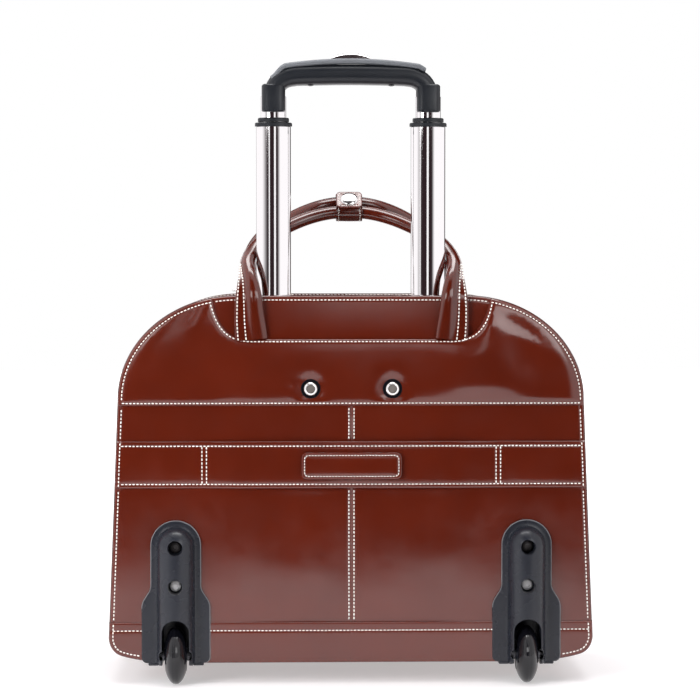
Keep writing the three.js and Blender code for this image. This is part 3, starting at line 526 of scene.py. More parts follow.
def panel(name, loop, level, base, sign, surface, replaces=(), roll=1.6, back=0.1, cell=5.0, lines=(),
          step=2.5, finish=True):
    """A closed leather piece: a smooth outer surface inside a loop, rolled over at its edge, on a flat back.

    The mesh follows the loop, its inner rings, and the stitched lines; the rest is a grid of cells.
    """
    loop = subdivide(loop, step, closed=True)
    rings = [loop]
    for ring in (0.12, 0.35, 0.7, 1.15, 1.7, 2.6):
        if ring <= roll * 1.7:
            found = offset(loop, ring, closed=True)
            found = found[inside(found, loop)]
            rings.append(found[distance_to(found, loop, True) > ring * 0.9])
    for line in lines:
        line = subdivide(line, 2.0)
        for shift in (-1.9, -1.1, -0.5, 0, 0.5, 1.1, 1.9):
            found = offset(line, shift)
            found = found[inside(found, loop)]
            if len(found):
                rings.append(found[distance_to(found, loop, True) > 0.8])
    low, high = loop.min(0), loop.max(0)
    xs = np.arange(low[0], high[0], cell)
    zs = np.arange(low[1], high[1], cell * 0.87)
    grid = np.array([(x + (k % 2) * cell / 2, z) for k, z in enumerate(zs) for x in xs])
    grid = grid[inside(grid, loop)]
    keep = distance_to(grid, loop, True) > min(3.5, roll * 2)
    for line in lines:
        keep &= distance_to(grid, line) > 2.4
    rings.append(grid[keep])
    points = np.concatenate([r for r in rings if len(r)])
    count = len(loop)
    edges = [(i, (i + 1) % count) for i in range(count)]
    found = geometry.delaunay_2d_cdt([Vector(p) for p in points], edges, [], 1, 1e-5)
    flat, faces = np.array([tuple(v) for v in found[0]]), found[2]
    depth = np.minimum(distance_to(flat, loop, True), roll)
    top = level(flat) - (roll - np.sqrt(np.maximum(roll ** 2 - (roll - depth) ** 2, 0)))
    y = base + sign * top
    bm = bmesh.new()
    verts = [bm.verts.new((x, yy, z)) for (x, z), yy in zip(flat, y)]
    for face in faces:
        bm.faces.new([verts[i] for i in face])
    rim = [e for e in bm.edges if len(e.link_faces) == 1]
    grown = bmesh.ops.extrude_edge_only(bm, edges=rim)["geom"]
    for v in grown:
        if isinstance(v, bmesh.types.BMVert):
            v.co.y = base + sign * back
    bmesh.ops.contextual_create(bm, geom=[e for e in grown if isinstance(e, bmesh.types.BMEdge)])
    bmesh.ops.recalc_face_normals(bm, faces=bm.faces)
    bm.verts.index_update()
    out_verts = [tuple(v.co) for v in bm.verts]
    out_faces = [tuple(v.index for v in f.verts) for f in bm.faces]
    bm.free()
    if not finish:
        return out_verts, out_faces
    return make(name, out_verts, out_faces, surface, "oxblood_leather", replaces=replaces)


def sweep(run, profile):
    """Carries a closed profile of (y, distance in from the outline) along a run of the outline."""
    inward = normals_of(run)
    rings = []
    for point, normal in zip(np.asarray(run), inward):
        rings.append([(point[0] + normal[0] * d, y, point[1] + normal[1] * d) for y, d in profile])
    return loft(rings)


# ------------------------------------------------------------ rear face

HOUSING_LOW, HOUSING_TOP = 18.4, 145.5
HOUSING_HALF, HOUSING_CREST = 30.5, 22.3   # half widths low down and at the rounded top
WELL_HALF = 15.6                           # half width of the wheel well's opening in the leather


def near_housing(points):
    """0 under a wheel housing's flange, rising to 1 some way off it."""
    away = np.full(len(points), 1e9)
    for _, sign in SIDES:
        x = np.abs(points[:, 0] - sign * WHEEL_X)
        z = points[:, 1]
        half = np.interp(z, (71, 84), (HOUSING_HALF, HOUSING_CREST))
        straight = np.hypot(np.maximum(x - half, 0), np.maximum(z - 123, 0))
        round_top = np.hypot(x, z - 123.2) - HOUSING_CREST
        away = np.minimum(away, np.where(z > 123.2, np.maximum(round_top, 0), straight))
    return smooth(away, 0.5, 60)


def lower_level(points):
    """Two soft halves either side of the centre seam, pressed flat under the strap and the housings."""
    x, z = np.abs(points[:, 0]), points[:, 1]
    across = np.clip((x - 2) / 200, 0, 1)
    up = np.clip((z - BAND_TOP) / (STRAP_LOW - BAND_TOP), 0, 1)
    pillow = 2.0 * np.minimum(1, across * 7) ** 0.6 * np.clip((1 - across) * 9, 0, 1) ** 0.7
    pillow = pillow * np.clip(np.sin(math.pi * up), 0, 1) ** 0.5
    pillow = np.where(z > STRAP_LOW, 0.25, pillow)
    body = LOWER + (pillow + ripple(points, 62, 0.4)) * near_housing(points)
    seam = 0.8 * np.exp(-(points[:, 0] / 0.7) ** 2) + groove(points, CENTRE_ROWS, 0.3)
    return body - seam - groove(points, [EDGE_ROW], width=0.9)


def tilted(points, centre, spread, slope):
    """A local lean of the surface towards a slope, dying out all round."""
    run = points - centre
    return -run.dot(slope) * np.exp(-(run ** 2).sum(axis=1) / (2 * spread ** 2))


def upper_level(points):
    """Softly filled, fuller at the right shoulder, drawn in at the frame bolts and creased near the rim."""
    x, z = points[:, 0], points[:, 1]
    from_rim, from_yoke = distance_to(points, RIM_LINE), distance_to(points, YOKE_LINE)
    from_fold = z - SEAM_Z
    inner = smooth(np.minimum(np.minimum(from_rim, from_fold), from_yoke), 2, 20)

    # The left side swells evenly; the right shoulder slopes up over a longer reach.
    full = smooth(x, 50, 140)
    reach = 13.0 + 11.0 * smooth(z, 280, 312)
    rise = np.clip(from_rim / reach, 0, 1)
    slope = 0.27 * reach * (1 - (1 - rise) ** 1.15) + 0.6
    puff = 2.4 * (1 - full) * swell(from_rim, 9.0) + full * slope

    # It lies down at the yoke, the fold and the rim, more gently at the two pads over the tubes.
    pads = np.exp(-((x + 78) / 34) ** 4) + np.exp(-((x - 78) / 30) ** 4)
    puff = puff * swell(from_yoke, 1.8) * swell(np.maximum(from_fold, 0), 2.2 + 7.0 * pads)
    puff = puff * swell(from_rim, 1.5)

    # Leans and a crease that catch the light as in the photograph
    puff = puff + tilted(points, (137, 299), 25, (0.13, 0.15)) * inner
    puff = puff + tilted(points, (-141, 327), 7, (-0.12, 0.14)) * smooth(from_rim, 2, 8)
    puff = puff + 0.45 * np.exp(-((from_rim - 9.5) / 1.8) ** 2) * smooth(x, 152, 166) * smooth(z, 262, 278)
    puff = puff + ripple(points, 88, 0.35, 0.6) * inner
    for _, sign in SIDES:
        off_washer = np.maximum(np.hypot(x - sign * BOLT_X, z - BOLT_Z) - 8.5, 0)
        puff = puff * (1 - np.exp(-(off_washer / 5.0) ** 1.4) * smooth(from_fold, 2, 9))
    puff = puff + tilted(points, (-BOLT_X - 15, BOLT_Z + 2), 6, (-0.04, 0.16)) * inner
    return UPPER + puff - groove(points, UPPER_ROWS)


def yoke_level(points):
    away = distance_to(points, YOKE_LOOP, True)
    return YOKE + 0.5 * swell(away, 6.0) - groove(points, YOKE_ROWS)


def strap_level(points):
    """The strap lies down at its ends and stands off between its two seams."""
    x = np.abs(points[:, 0])
    lift = 1.9 * (1 - smooth(x, 96, 130)) + 1.6
    belly = 0.7 * np.sin(np.clip((points[:, 1] - STRAP_LOW) / (STRAP_HIGH - STRAP_LOW), 0, 1) * math.pi)
    return 1.3 + lift + belly + ripple(points, 46, 0.25, 1.1) - groove(points, STRAP_ROWS, 0.35, 0.8)


def band_level(points):
    away = smooth(np.abs(points[:, 0]), 0, 1) * near_housing(points)
    return BAND - 0.6 + 0.9 * away - groove(points, BAND_ROWS, 0.4)


def front_band_level(points):
    return BAND - 0.3 - groove(points, BAND_ROWS, 0.4)


EDGE_ROW = offset(upper_run(20.0), EDGE_STITCH)
CENTRE_ROW_X = 2.3
CENTRE_ROWS = [np.array([(s * CENTRE_ROW_X, 40.0), (s * CENTRE_ROW_X, SEAM_Z + 3)]) for _, s in SIDES]
WELL_EDGES = [s * WHEEL_X + t * WELL_HALF for s in (-1, 1) for t in (-1, 1)]
WELL_TOP = 62.2

# Lower leather: a loop with a notch for each wheel well.
LOWER_Z, lower_top = BAND_TOP - 2.5, SEAM_Z + 6
side = [(side_half(z) - INSET, z) for z in np.linspace(LOWER_Z, lower_top, 30)]
near, far = WELL_EDGES[2:]
notch = [(near, LOWER_Z), (near, WELL_TOP), (far, WELL_TOP), (far, LOWER_Z)]
right_low = [(0, LOWER_Z)] + notch + side
low_edge_row = EDGE_ROW[EDGE_ROW[:, 1] < lower_top]
centre_seam = np.array([(0, LOWER_Z + 0.5), (0, SEAM_Z + 5)])
lower_loop = np.concatenate((right_low, mirrored(right_low[1:])))
panel("rear_lower_leather", lower_loop, lower_level, REAR, -1, leather, replaces=("rear_panel",),
      lines=CENTRE_ROWS + [centre_seam] + [low_edge_row[low_edge_row[:, 0] * s > 0] for s in (1, -1)])

# Upper leather: from its fold up to the outline and round the yoke.
seam = yoke_seam()
seam = seam[seam[:, 1] < top_line(seam[:, 0]) - INSET - 0.4]
right_rim = offset(upper_run(SEAM_Z - 3), INSET)
right_rim = right_rim[(right_rim[:, 0] > seam[-1][0]) & (right_rim[:, 1] > SEAM_Z)]
edge_x = float(right_rim[0][0]) + 0.03
right_up = [(edge_x, SEAM_Z)] + right_rim.tolist() + seam[::-1].tolist()
UPPER_LOOP = np.concatenate(([(0, SEAM_Z)], right_up, mirrored(right_up)))
RIM_LINE = upper_run(SEAM_Z - 3)
YOKE_LINE = np.concatenate((mirrored(seam), seam))
seam_row = yoke_seam(FOLD_STITCH)
fold_row = np.array([(-edge_x + 3.2, SEAM_Z + FOLD_STITCH), (edge_x - 3.2, SEAM_Z + FOLD_STITCH)])
whole_seam = np.concatenate((mirrored(seam_row), seam_row))
whole_seam = whole_seam[whole_seam[:, 1] < top_line(whole_seam[:, 0]) - 3.2]
high_edge_row = EDGE_ROW[EDGE_ROW[:, 1] > SEAM_Z]
rim_rows = [high_edge_row[high_edge_row[:, 0] * s > YOKE_TOP_HALF - 0.5] for s in (1, -1)]
UPPER_ROWS = [fold_row, whole_seam] + rim_rows
panel("rear_upper_leather", UPPER_LOOP, upper_level, REAR, -1, leather, replaces=("rear_upper_panel",),
      lines=UPPER_ROWS, roll=1.5)

# Yoke: tucked under the upper leather all round its lower edge.
tuck = yoke_seam(3.5)
tuck = tuck[tuck[:, 1] < top_line(tuck[:, 0]) - INSET - 0.5]
crest = offset(upper_run(SHOULDER_Z + 10), INSET)
crest = crest[np.abs(crest[:, 0]) < tuck[-1][0] - 0.1]
YOKE_LOOP = np.concatenate((mirrored(tuck), tuck, crest))
YOKE_LOOP = np.array([p for k, p in enumerate(YOKE_LOOP) if np.linalg.norm(p - YOKE_LOOP[k - 1]) > 0.05])
YOKE_ROWS = [high_edge_row[np.abs(high_edge_row[:, 0]) < YOKE_TOP_HALF - 2.5]]
panel("rear_yoke_leather", YOKE_LOOP, yoke_level, REAR, -1, leather, replaces=("rear_yoke",),
      lines=YOKE_ROWS, roll=1.2)

# Luggage strap: a folded band with a hollow behind it.
STRAP_BACK, STRAP_THICK = 0.8, 1.8
strap_top_row, strap_low_row = STRAP_HIGH - 4.3, STRAP_LOW + 3.6
half_low, half_high = side_half(STRAP_LOW) - 1.0, side_half(STRAP_HIGH) - 1.0
strap_loop = np.array([(-half_low, STRAP_LOW), (half_low, STRAP_LOW), (half_high, STRAP_HIGH),
                       (-half_high, STRAP_HIGH)])
STRAP_ROWS = [np.array([(-half_high + 3.4, z), (half_high - 3.4, z)]) for z in (strap_top_row, strap_low_row)]
STRAP_ROWS += [np.array([(s * x, strap_low_row), (s * x, strap_top_row)])
               for _, s in SIDES for x in (128.6, 132.6)]
STRAP_ROWS += [np.array([(s * (side_half(z) - EDGE_STITCH), z) for z in (STRAP_LOW + 1, STRAP_HIGH - 1)])
               for _, s in SIDES]
strap = panel("luggage_strap_leather", strap_loop, strap_level, REAR, -1, strap_leather,
              replaces=("luggage_strap",), lines=STRAP_ROWS, roll=1.1, back=STRAP_BACK).data
hollow = strap_level(np.array([(v.co.x / MM, v.co.z / MM) for v in strap.vertices])) - STRAP_THICK
for v, proud in zip(strap.vertices, hollow):
    if abs(v.co.y / MM - (REAR - STRAP_BACK)) < 1e-3:
        v.co.y = (REAR - max(STRAP_BACK, proud)) * MM

# The plain patch on the strap
patch_low, patch_high = span("blank_patch")
patch_z = (patch_low[2] + patch_high[2]) / 2
patch_half = ((patch_high[0] - patch_low[0]) / 2, (patch_high[2] - patch_low[2]) / 2)
patch_base = patch_high[1] - 0.2
PATCH_ROW = joined_up(rounded(patch_half[0] - 2.6, patch_half[1] - 2.6, 3.2, centre=(0, patch_z)))


def patch_level(points):
    away = distance_to(points, PATCH_ROW[:-1], True)
    within = inside(points, PATCH_ROW[:-1])
    return 1.9 + np.where(within, 0.5 * swell(away, 2.5), 0) - groove(points, [PATCH_ROW], 0.35, 0.7)


panel("blank_patch_leather", rounded(*patch_half, 5, centre=(0, patch_z)), patch_level, patch_base, -1,
      strap_leather, replaces=("blank_patch",), lines=[PATCH_ROW], roll=1.0, back=-0.6, cell=3.5)

# Base band across the rear, in three parts between the wheel wells
BAND_ROW_Z = BAND_TOP - 7.4
BAND_ROWS = [np.array([(-215.0, BAND_ROW_Z), (215.0, BAND_ROW_Z)])]
FAR = 230.0                                # beyond the case's sides
low_run = lower_run(BAND_TOP)
low_line = offset(low_run, 0.5)


def low_end(line, x):
    """Where a line along the bottom crosses an x; nothing for an x beyond the sides."""
    return [(x, float(np.interp(x, line[:, 0], line[:, 1])))] if abs(x) < FAR else []


base = Shell()
for x_from, x_to in ((-FAR, WELL_EDGES[0]), WELL_EDGES[1:3], (WELL_EDGES[3], FAR)):
    part = low_line[(low_line[:, 0] > x_from) & (low_line[:, 0] < x_to)]
    top_left = part[0][0] if x_from == -FAR else x_from
    top_right = part[-1][0] if x_to == FAR else x_to
    part = part[part[:, 1] < BAND_TOP - 0.2]
    part = np.array(low_end(low_line, x_from) + part.tolist() + low_end(low_line, x_to)
                    + [(top_right, BAND_TOP), (top_left, BAND_TOP)])
    base.add(*panel("", part, band_level, REAR, -1, leather, lines=BAND_ROWS, roll=1.4, back=-1.0,
                    finish=False))
front_band = np.concatenate((low_line[low_line[:, 1] < BAND_TOP - 0.2],
                             [(low_line[-1][0], BAND_TOP), (low_line[0][0], BAND_TOP)]))
base.add(*panel("", front_band, front_band_level, FRONT, 1, leather, lines=BAND_ROWS, roll=1.4, back=-1.0,
                finish=False, cell=7))


def wrap_run(x_from, x_to, y_from):
    """The part of the base that turns under the case, between two places across it."""
    run = low_run[(low_run[:, 0] >= x_from - 1e-6) & (low_run[:, 0] <= x_to + 1e-6)]
    run = np.array(low_end(low_run, x_from) + run.tolist() + low_end(low_run, x_to))
    run = run[np.concatenate(([True], np.linalg.norm(np.diff(run, axis=0), axis=1) > 0.01))]
    y_to = FRONT + 1.2
    profile = [(y_from, 1.4), (y_from + 0.5, 0.5), (y_from + 1.6, 0.0), (y_to - 1.6, 0.0), (y_to - 0.5, 0.5),
               (y_to, 1.4), (y_to, 2.6), (y_from, 2.6)]
    return sweep(run, profile)


edges = [-FAR, *WELL_EDGES, FAR]
for k in range(5):                         # the wheel wells are cut back
    base.add(*wrap_run(edges[k], edges[k + 1], REAR - 1.4 if k % 2 == 0 else REAR + 28.7))
base.make("base_cover_leather", leather, "oxblood_leather", replaces=("base_cover",))

# Rolled edge binding round both panels, in the darker leather copy that paints the rolled edges' shade
binding_run = upper_run(BAND_TOP + 0.2)
for name, face, sign in (("binding_rear", REAR, -1), ("binding_front", FRONT, 1)):
    profile = [(face + sign * 0.3, 2.9), (face + sign * 0.55, 1.6), (face + sign * 0.1, 0.7),
               (face - sign * 0.9, 0.15), (face - sign * 2.2, 0.0), (face - sign * 3.6, 0.1),
               (face - sign * 4.6, 0.6), (face - sign * 5.0, 1.5), (face - sign * 5.0, 2.9)]
    make(name + "_leather", *sweep(binding_run, profile), rim_leather_painted_shade, "oxblood_leather", replaces=(name,))

# Stitching on the rear face
BAND_ROW_END, FLANGE_GAP = 212.5, 29.0
beside_strap = ((BAND_TOP + 1.5, STRAP_LOW - 1.5), (STRAP_HIGH + 1.5, SEAM_Z - 1.5))
side_rows = [np.array([(s * (side_half(z) - EDGE_STITCH), z) for z in np.arange(*stretch, 1.5)])
             for stretch in beside_strap for _, s in SIDES]
centre_rows = [np.array([(s * CENTRE_ROW_X, z) for z in stretch])
               for stretch in beside_strap for _, s in SIDES]
rear = Stitches()
for level, rows in ((lower_level, side_rows + centre_rows), (upper_level, UPPER_ROWS),
                    (yoke_level, YOKE_ROWS), (strap_level, STRAP_ROWS)):
    for row in rows:
        rear.on_panel(row, level, REAR, -1)
rear.on_panel(PATCH_ROW, patch_level, patch_base, -1, pitch=2.7, length=2.05, width=0.95)
for x_from, x_to in ((-BAND_ROW_END, -WHEEL_X - FLANGE_GAP), (-WHEEL_X + FLANGE_GAP, WHEEL_X - FLANGE_GAP),
                     (WHEEL_X + FLANGE_GAP, BAND_ROW_END)):
    rear.on_panel(np.array([(x_from, BAND_ROW_Z), (x_to, BAND_ROW_Z)]), band_level, REAR, -1)
band_edge = offset(lower_run(BAND_TOP - 1), EDGE_STITCH)
for _, s in SIDES:
    rear.on_panel(band_edge[band_edge[:, 0] * s > WHEEL_X + FLANGE_GAP], band_level, REAR, -1)
rear.make("stitching_rear", thread, "oxblood_leather", recalc=False)

# Frame bolts: a flanged dome with a driver recess holding a dark core that paints the socket's shade, over a
# dark washer
BOLT_HEAD = [(0, -0.5), (5.9, -0.5), (5.95, -1.4), (5.5, -2.0), (4.8, -2.5), (4.3, -2.7), (4.0, -2.5),
             (3.9, -1.5), (0, -1.4)]
BOLT_SHANK = [(0, 22), (2, 22), (2, 0), (0, 0)]
BOLT_CORE = [(0, -1.2), (3.7, -1.2), (3.75, -1.6), (3.4, -1.85), (0, -1.9)]
WASHER = [(0, 0.9), (8.6, 0.9), (8.7, -0.4), (8.2, -0.95), (6.4, -1.0), (0, -1.0)]
for name, s in SIDES:
    spot = (s * BOLT_X, REAR - 2.6, BOLT_Z)
    bolt = Shell()
    bolt.add(*turned(BOLT_HEAD, 40, "Y", spot))
    bolt.add(*turned(BOLT_SHANK, 16, "Y", spot))
    bolt.make(f"frame_bolt_{name}_head", nickel, "nickel", replaces=(f"frame_bolt_{name}",))
    make(f"frame_bolt_{name}_core", *turned(BOLT_CORE, 28, "Y", spot), bolt_core_painted_shade, "nickel")
    make(f"bolt_washer_{name}", *turned(WASHER, 40, "Y", spot), rubber, "charcoal_plastic")

# ------------------------------------------------------------ wheel housings

BARREL_R, BARREL_TOP = 16.0, 139.0
ARCH_HALF, ARCH_TOP = 12.0, 58.5
PLATE = 3.2


def housing_loop():
    """Flange outline with the wheel arch and its axle notches cut up into it."""
    corner, crest = 5, HOUSING_CREST - 0.05
    half = [(HOUSING_HALF - corner, HOUSING_LOW)]
    half += [(HOUSING_HALF - corner + corner * math.sin(t), HOUSING_LOW + corner - corner * math.cos(t))
             for t in np.linspace(0, math.pi / 2, 8)[1:]]
    half += quad((HOUSING_HALF, 67), (HOUSING_HALF, 71.5), (28.4, 75), 4)
    half += quad((24, 81.8), (22.4, 84.5), (crest, 88), 4)
    half += [(crest * math.cos(t), HOUSING_TOP - crest + crest * math.sin(t))
             for t in np.linspace(0, math.pi / 2, 20)]
    arch = [(-ARCH_HALF, HOUSING_LOW)]
    arch += [(-ARCH_HALF - 2.6 * math.cos(t), 26 - 4.2 * math.sin(t))
             for t in np.linspace(math.pi / 2, -math.pi / 2, 9)]
    arch += [(-ARCH_HALF * math.cos(t), ARCH_TOP - ARCH_HALF + ARCH_HALF * math.sin(t))
             for t in np.linspace(0, math.pi / 2, 14)]
    return np.concatenate((both(half), both(arch)))


def housing_level(points):
    """The flange's plate with the wheel's barrel standing out of it, and a well down to each screw."""
    x, z = np.abs(points[:, 0]), points[:, 1]
    top = BARREL_TOP - BARREL_R
    reach = np.where(z > top, np.hypot(x, z - top), x)
    part = np.clip(1 - (reach / (BARREL_R + 0.35)) ** 2, 0, 1)
    barrel = 16.0 * np.sqrt(part) * (1 - 0.06 * smooth(z, 60, 140))
    foot = 1.6 * np.exp(-np.maximum(reach - BARREL_R, 0) / 1.2)
    level = PLATE + np.maximum(barrel, 0) + np.where(reach > BARREL_R, foot, 1.6)
    for screw_z in SCREWS:
        gap = np.hypot(points[:, 0], z - screw_z)
        level = np.minimum(level, 7.2 + 16 * smooth(gap, 5.2, 7.0))
    return level


SCREWS = [centre_of(f"housing_screw_right_{level}")[2] for level in ("lower", "upper")]
foot_half = BARREL_R - 1.0                 # the mesh follows the barrel's foot, round top and screw wells
barrel_lines = [np.array([(s * foot_half, HOUSING_LOW + 0.6), (s * foot_half, BARREL_TOP - BARREL_R)])
                for _, s in SIDES]
barrel_lines += [np.array([(foot_half * math.cos(t), BARREL_TOP - BARREL_R + foot_half * math.sin(t))
                           for t in np.linspace(0, math.pi, 24)])]
barrel_lines += [np.array([(radius * math.cos(t), screw_z + radius * math.sin(t))
                           for t in np.linspace(0, 2 * math.pi, 28)])
                 for screw_z in SCREWS for radius in (5.6, 6.8)]
housing_mesh = panel("", housing_loop(), housing_level, REAR, -1, charcoal, roll=1.1, back=0.3, cell=2.2,
                     lines=barrel_lines, finish=False, step=1.6)


def arch_ring(half, top, y, low):
    pts = [(-half, low)]
    pts += [(-half * math.cos(t), top - half + half * math.sin(t)) for t in np.linspace(0, math.pi, 28)]
    pts += [(half, low)]
    return [(x, y, z) for x, z in pts]


def well():
    """The wheel well behind the flange: a thin arched tunnel with a closed back, on two short ledges."""
    shell = Shell()
    y0, y1, y2 = REAR - PLATE + 0.2, REAR + 24.8, REAR + 28.0
    foot = 16.2
    rings = [arch_ring(ARCH_HALF + grow, ARCH_TOP + grow, y, foot)
             for grow, y in ((3, y0), (3, y2), (0.15, y1), (0.15, y0))]
    count = len(rings[0])
    faces = [(a * count + i, a * count + i + 1, b * count + i + 1, b * count + i)
             for a, b in ((0, 1), (2, 3), (3, 0)) for i in range(count - 1)]
    faces += [[side * count + i for i in range(count)] for side in (1, 2)]
    faces += [(i, count + i, 2 * count + i, 3 * count + i) for i in (0, count - 1)]
    faces.append((count, 2 * count - 1, 3 * count - 1, 2 * count))
    shell.add(np.concatenate(rings), faces)
    for _, s in SIDES:
        low, high = sorted((s * 15.2, s * 24.6))
        shell.add(*rounded_box((low, REAR - PLATE + 0.4, 16.1), (high, REAR + 27, 19.4), 1.0))
    return shell


def rounded_box(low, high, radius, steps=3):
    """A box with rounded upright and level edges."""
    low, high = np.array(low, float), np.array(high, float)
    centre, half = (low + high) / 2, (high - low) / 2
    radius = min(radius, *(half * 0.98))
    quarter = [math.pi / 2 * k / steps for k in range(steps + 1)]
    levels = [(radius * (1 - math.sin(t)), radius * (1 - math.cos(t)) - half[2]) for t in quarter]
    rings = []
    for shrink, z in levels + [(shrink, -z) for shrink, z in levels[::-1]]:
        loop = rounded(half[0] - shrink, half[1] - shrink, max(radius - shrink, 0.02) * 0.999, steps=3)
        rings.append([(centre[0] + x, centre[1] + y, centre[2] + z) for x, y in loop])
    return loft(rings)


def bead(points, radius, sides=6):
    """A thin round bead along an open line."""
    rings = []
    for p, t in zip(np.asarray(points, float), tangents(points)):
        u = np.cross(t, (0, 1, 0))
        u /= np.linalg.norm(u)
        v = np.cross(t, u)
        rings.append([p + radius * (u * math.cos(a) + v * math.sin(a)) for a in turns(sides)])
    return loft(rings)


flange_edge = housing_loop()
flange_edge = subdivide(flange_edge[:np.argmax(flange_edge[:, 0] < 0.1 - HOUSING_HALF) + 1], 2.0)
SCREW_HEAD = [(0, 0), (4.9, 0), (4.9, -1.6), (4.6, -2.3), (3.9, -2.8), (2.1, -3.1), (1.8, -2.4), (0, -2.3)]
TYRE_R, TYRE_HALF = 25.6, 11.0             # the tyre's lens, carried on to a sharp edge
for name, s in SIDES:
    # The bead's lighter plastic paints a highlight all round the flange's edge.
    rim_bead = [(s * WHEEL_X + x * 0.988, REAR - PLATE + 0.35, 84 + (z - 84) * 0.995) for x, z in flange_edge]
    make(f"wheel_housing_{name}_edge", *bead(rim_bead, 0.42), plastic_edge_painted_highlight, "charcoal_plastic")
    shell = well()
    shell.add(*housing_mesh)
    verts = np.array(shell.verts) + (s * WHEEL_X, 0, 0)
    make(f"wheel_housing_{name}_shell", verts, shell.faces, charcoal, "charcoal_plastic",
         replaces=(f"wheel_housing_{name}",), angle=50)
    for level, screw_z, metal in (("lower", SCREWS[0], screw_bright), ("upper", SCREWS[1], screw_dark)):
        node = f"housing_screw_{name}_{level}"
        head = turned(SCREW_HEAD, 28, "Y", (s * WHEEL_X, REAR - 7.0, screw_z))
        make(node + "_head", *head, metal, "nickel", replaces=(node,))

    # Wheel: lens-shaped glossy tyre with a fine mould line, and a hub
    centre = (s * WHEEL_X, WHEEL_Y, WHEEL_R)
    radii = np.concatenate(([13.9], np.linspace(15, 24.8, 10), [25.2]))
    widths = TYRE_HALF * np.sqrt(np.maximum(0, 1 - (radii / TYRE_R) ** 2))
    profile = [*zip(radii, widths), (25.32, 0.35), (25.48, 0.16)]
    profile += [(r, -w) for r, w in profile[::-1]]
    make(f"wheel_{name}_tyre", *lathe(profile, 72, "X", centre), rubber, "wheel_rubber", body=f"wheel_{name}",
         replaces=(f"wheel_tyre_{name}",))
    rim = TYRE_HALF * math.sqrt(1 - (13.6 / 25.5) ** 2)
    profile = [(3.3, rim + 0.5), (6.2, rim + 0.5), (6.6, rim + 0.2), (7.4, rim - 1.2), (12.4, rim - 0.5),
               (13.5, rim - 0.4), (13.6, rim - 0.9)]
    profile += [(r, -w) for r, w in profile[::-1]]
    make(f"wheel_{name}_hub", *lathe(profile, 48, "X", centre), charcoal, "charcoal_plastic",
         body=f"wheel_{name}", replaces=(f"wheel_hub_{name}",))

# ------------------------------------------------------------ trolley tubes and collars

def oval(a, b, z, shift_x, sides=72):
    return [(shift_x + a * math.cos(t), TUBE_Y + b * math.sin(t), z) for t in turns(sides)]


def oval_tube(a, b, wall, low, high, x, ease=0.25):
    """A tube with an eased upper edge."""
    profile = ((0, low), (0, high - ease), (ease, high), (wall - ease * 0.5, high), (wall, high - ease),
               (wall, low))
    return loft([oval(a - inset, b - inset, z, x) for inset, z in profile], closed=True)


def tube_size(node):
    low, high = span(node)
    return (high[0] - low[0]) / 2, (high[1] - low[1]) / 2, low[2], high[2]


for name, s in SIDES:
    for stage, wall in (("a", 1.1), ("b", 1.0), ("c", 1.0)):
        node = f"stage_{stage}_tube_{name}"
        a, b, low, high = tube_size(node)
        make(node + "_chrome", *oval_tube(a, b, wall, low, high, s * TUBE_X), chrome, "polished_tube",
             body=f"stage_{stage}", replaces=(node,))
    for stage, inner in (("a", "b"), ("b", "c")):
        node = f"stage_{stage}_collar_{name}"
        a, b, low, high = tube_size(node)
        next_a, next_b, *_ = tube_size(f"stage_{inner}_tube_{name}")
        wall = min(a - next_a, b - next_b) - 0.3
        make(node + "_ring", *oval_tube(a, b, wall, low, high, s * TUBE_X, 0.7), grip_plastic,
             "charcoal_plastic", body=f"stage_{stage}", replaces=(node,))

# ------------------------------------------------------------ grip

GRIP_LOW = span("grip_shell")[0][2]
GRIP_HALF = span("grip_shell")[1][0]


def super_ring(centre, u, v, half_u, half_v, power=2.6, sides=32):
    """A squarish rounded ring in the plane of u and v."""
    ring = []
    for t in turns(sides):
        c, s = math.cos(t), math.sin(t)
        ring.append(np.array(centre) + np.array(u) * half_u * math.copysign(abs(c) ** (2 / power), c)
                    + np.array(v) * half_v * math.copysign(abs(s) ** (2 / power), s))
    return ring


def grip_path():
    """Middle line of the bar, from the right socket over to the left one."""
    right = [(TUBE_X, 3.0), (TUBE_X, 10.8)]
    right += quad((TUBE_X, 12.8), (TUBE_X - 0.3, 29.8), (50.5, 32.3), 12)
    right += quad((48.5, 32.6), (24, 33.4), (0, 33.5), 8)
    return both(np.array(right)) + (0, GRIP_LOW)


# The bar, thicker over its sockets, and the two square legs
LEG_IN, LEG_DEEP = 58.5, 12.5
LEG_STATIONS = [(0, 0.8), (0.8, 0), (22.6, 0), (23.7, 0.5), (24.4, 1.6)]
path = grip_path()
rings = []
for (x, z), (ax, az) in zip(path, tangents(path)):
    half_u = 8.8 + 0.5 * smooth(abs(x), 60, 50)
    rings.append(super_ring((x, TUBE_Y, z), (-az, 0, ax), (0, 1, 0), half_u, 12.3, 2.5))
grip = Shell()
grip.add(*loft(rings))
for _, s in SIDES:
    middle_x, half_x = s * (GRIP_HALF + LEG_IN) / 2, (GRIP_HALF - LEG_IN) / 2
    grip.add(*loft([super_ring((middle_x, TUBE_Y, GRIP_LOW + z), (1, 0, 0), (0, 1, 0), half_x - less,
                               LEG_DEEP - less, 4.2, 36) for z, less in LEG_STATIONS]))
grip.make("grip_body", grip_plastic, "charcoal_plastic", body="stage_c", replaces=("grip_shell",), angle=45)

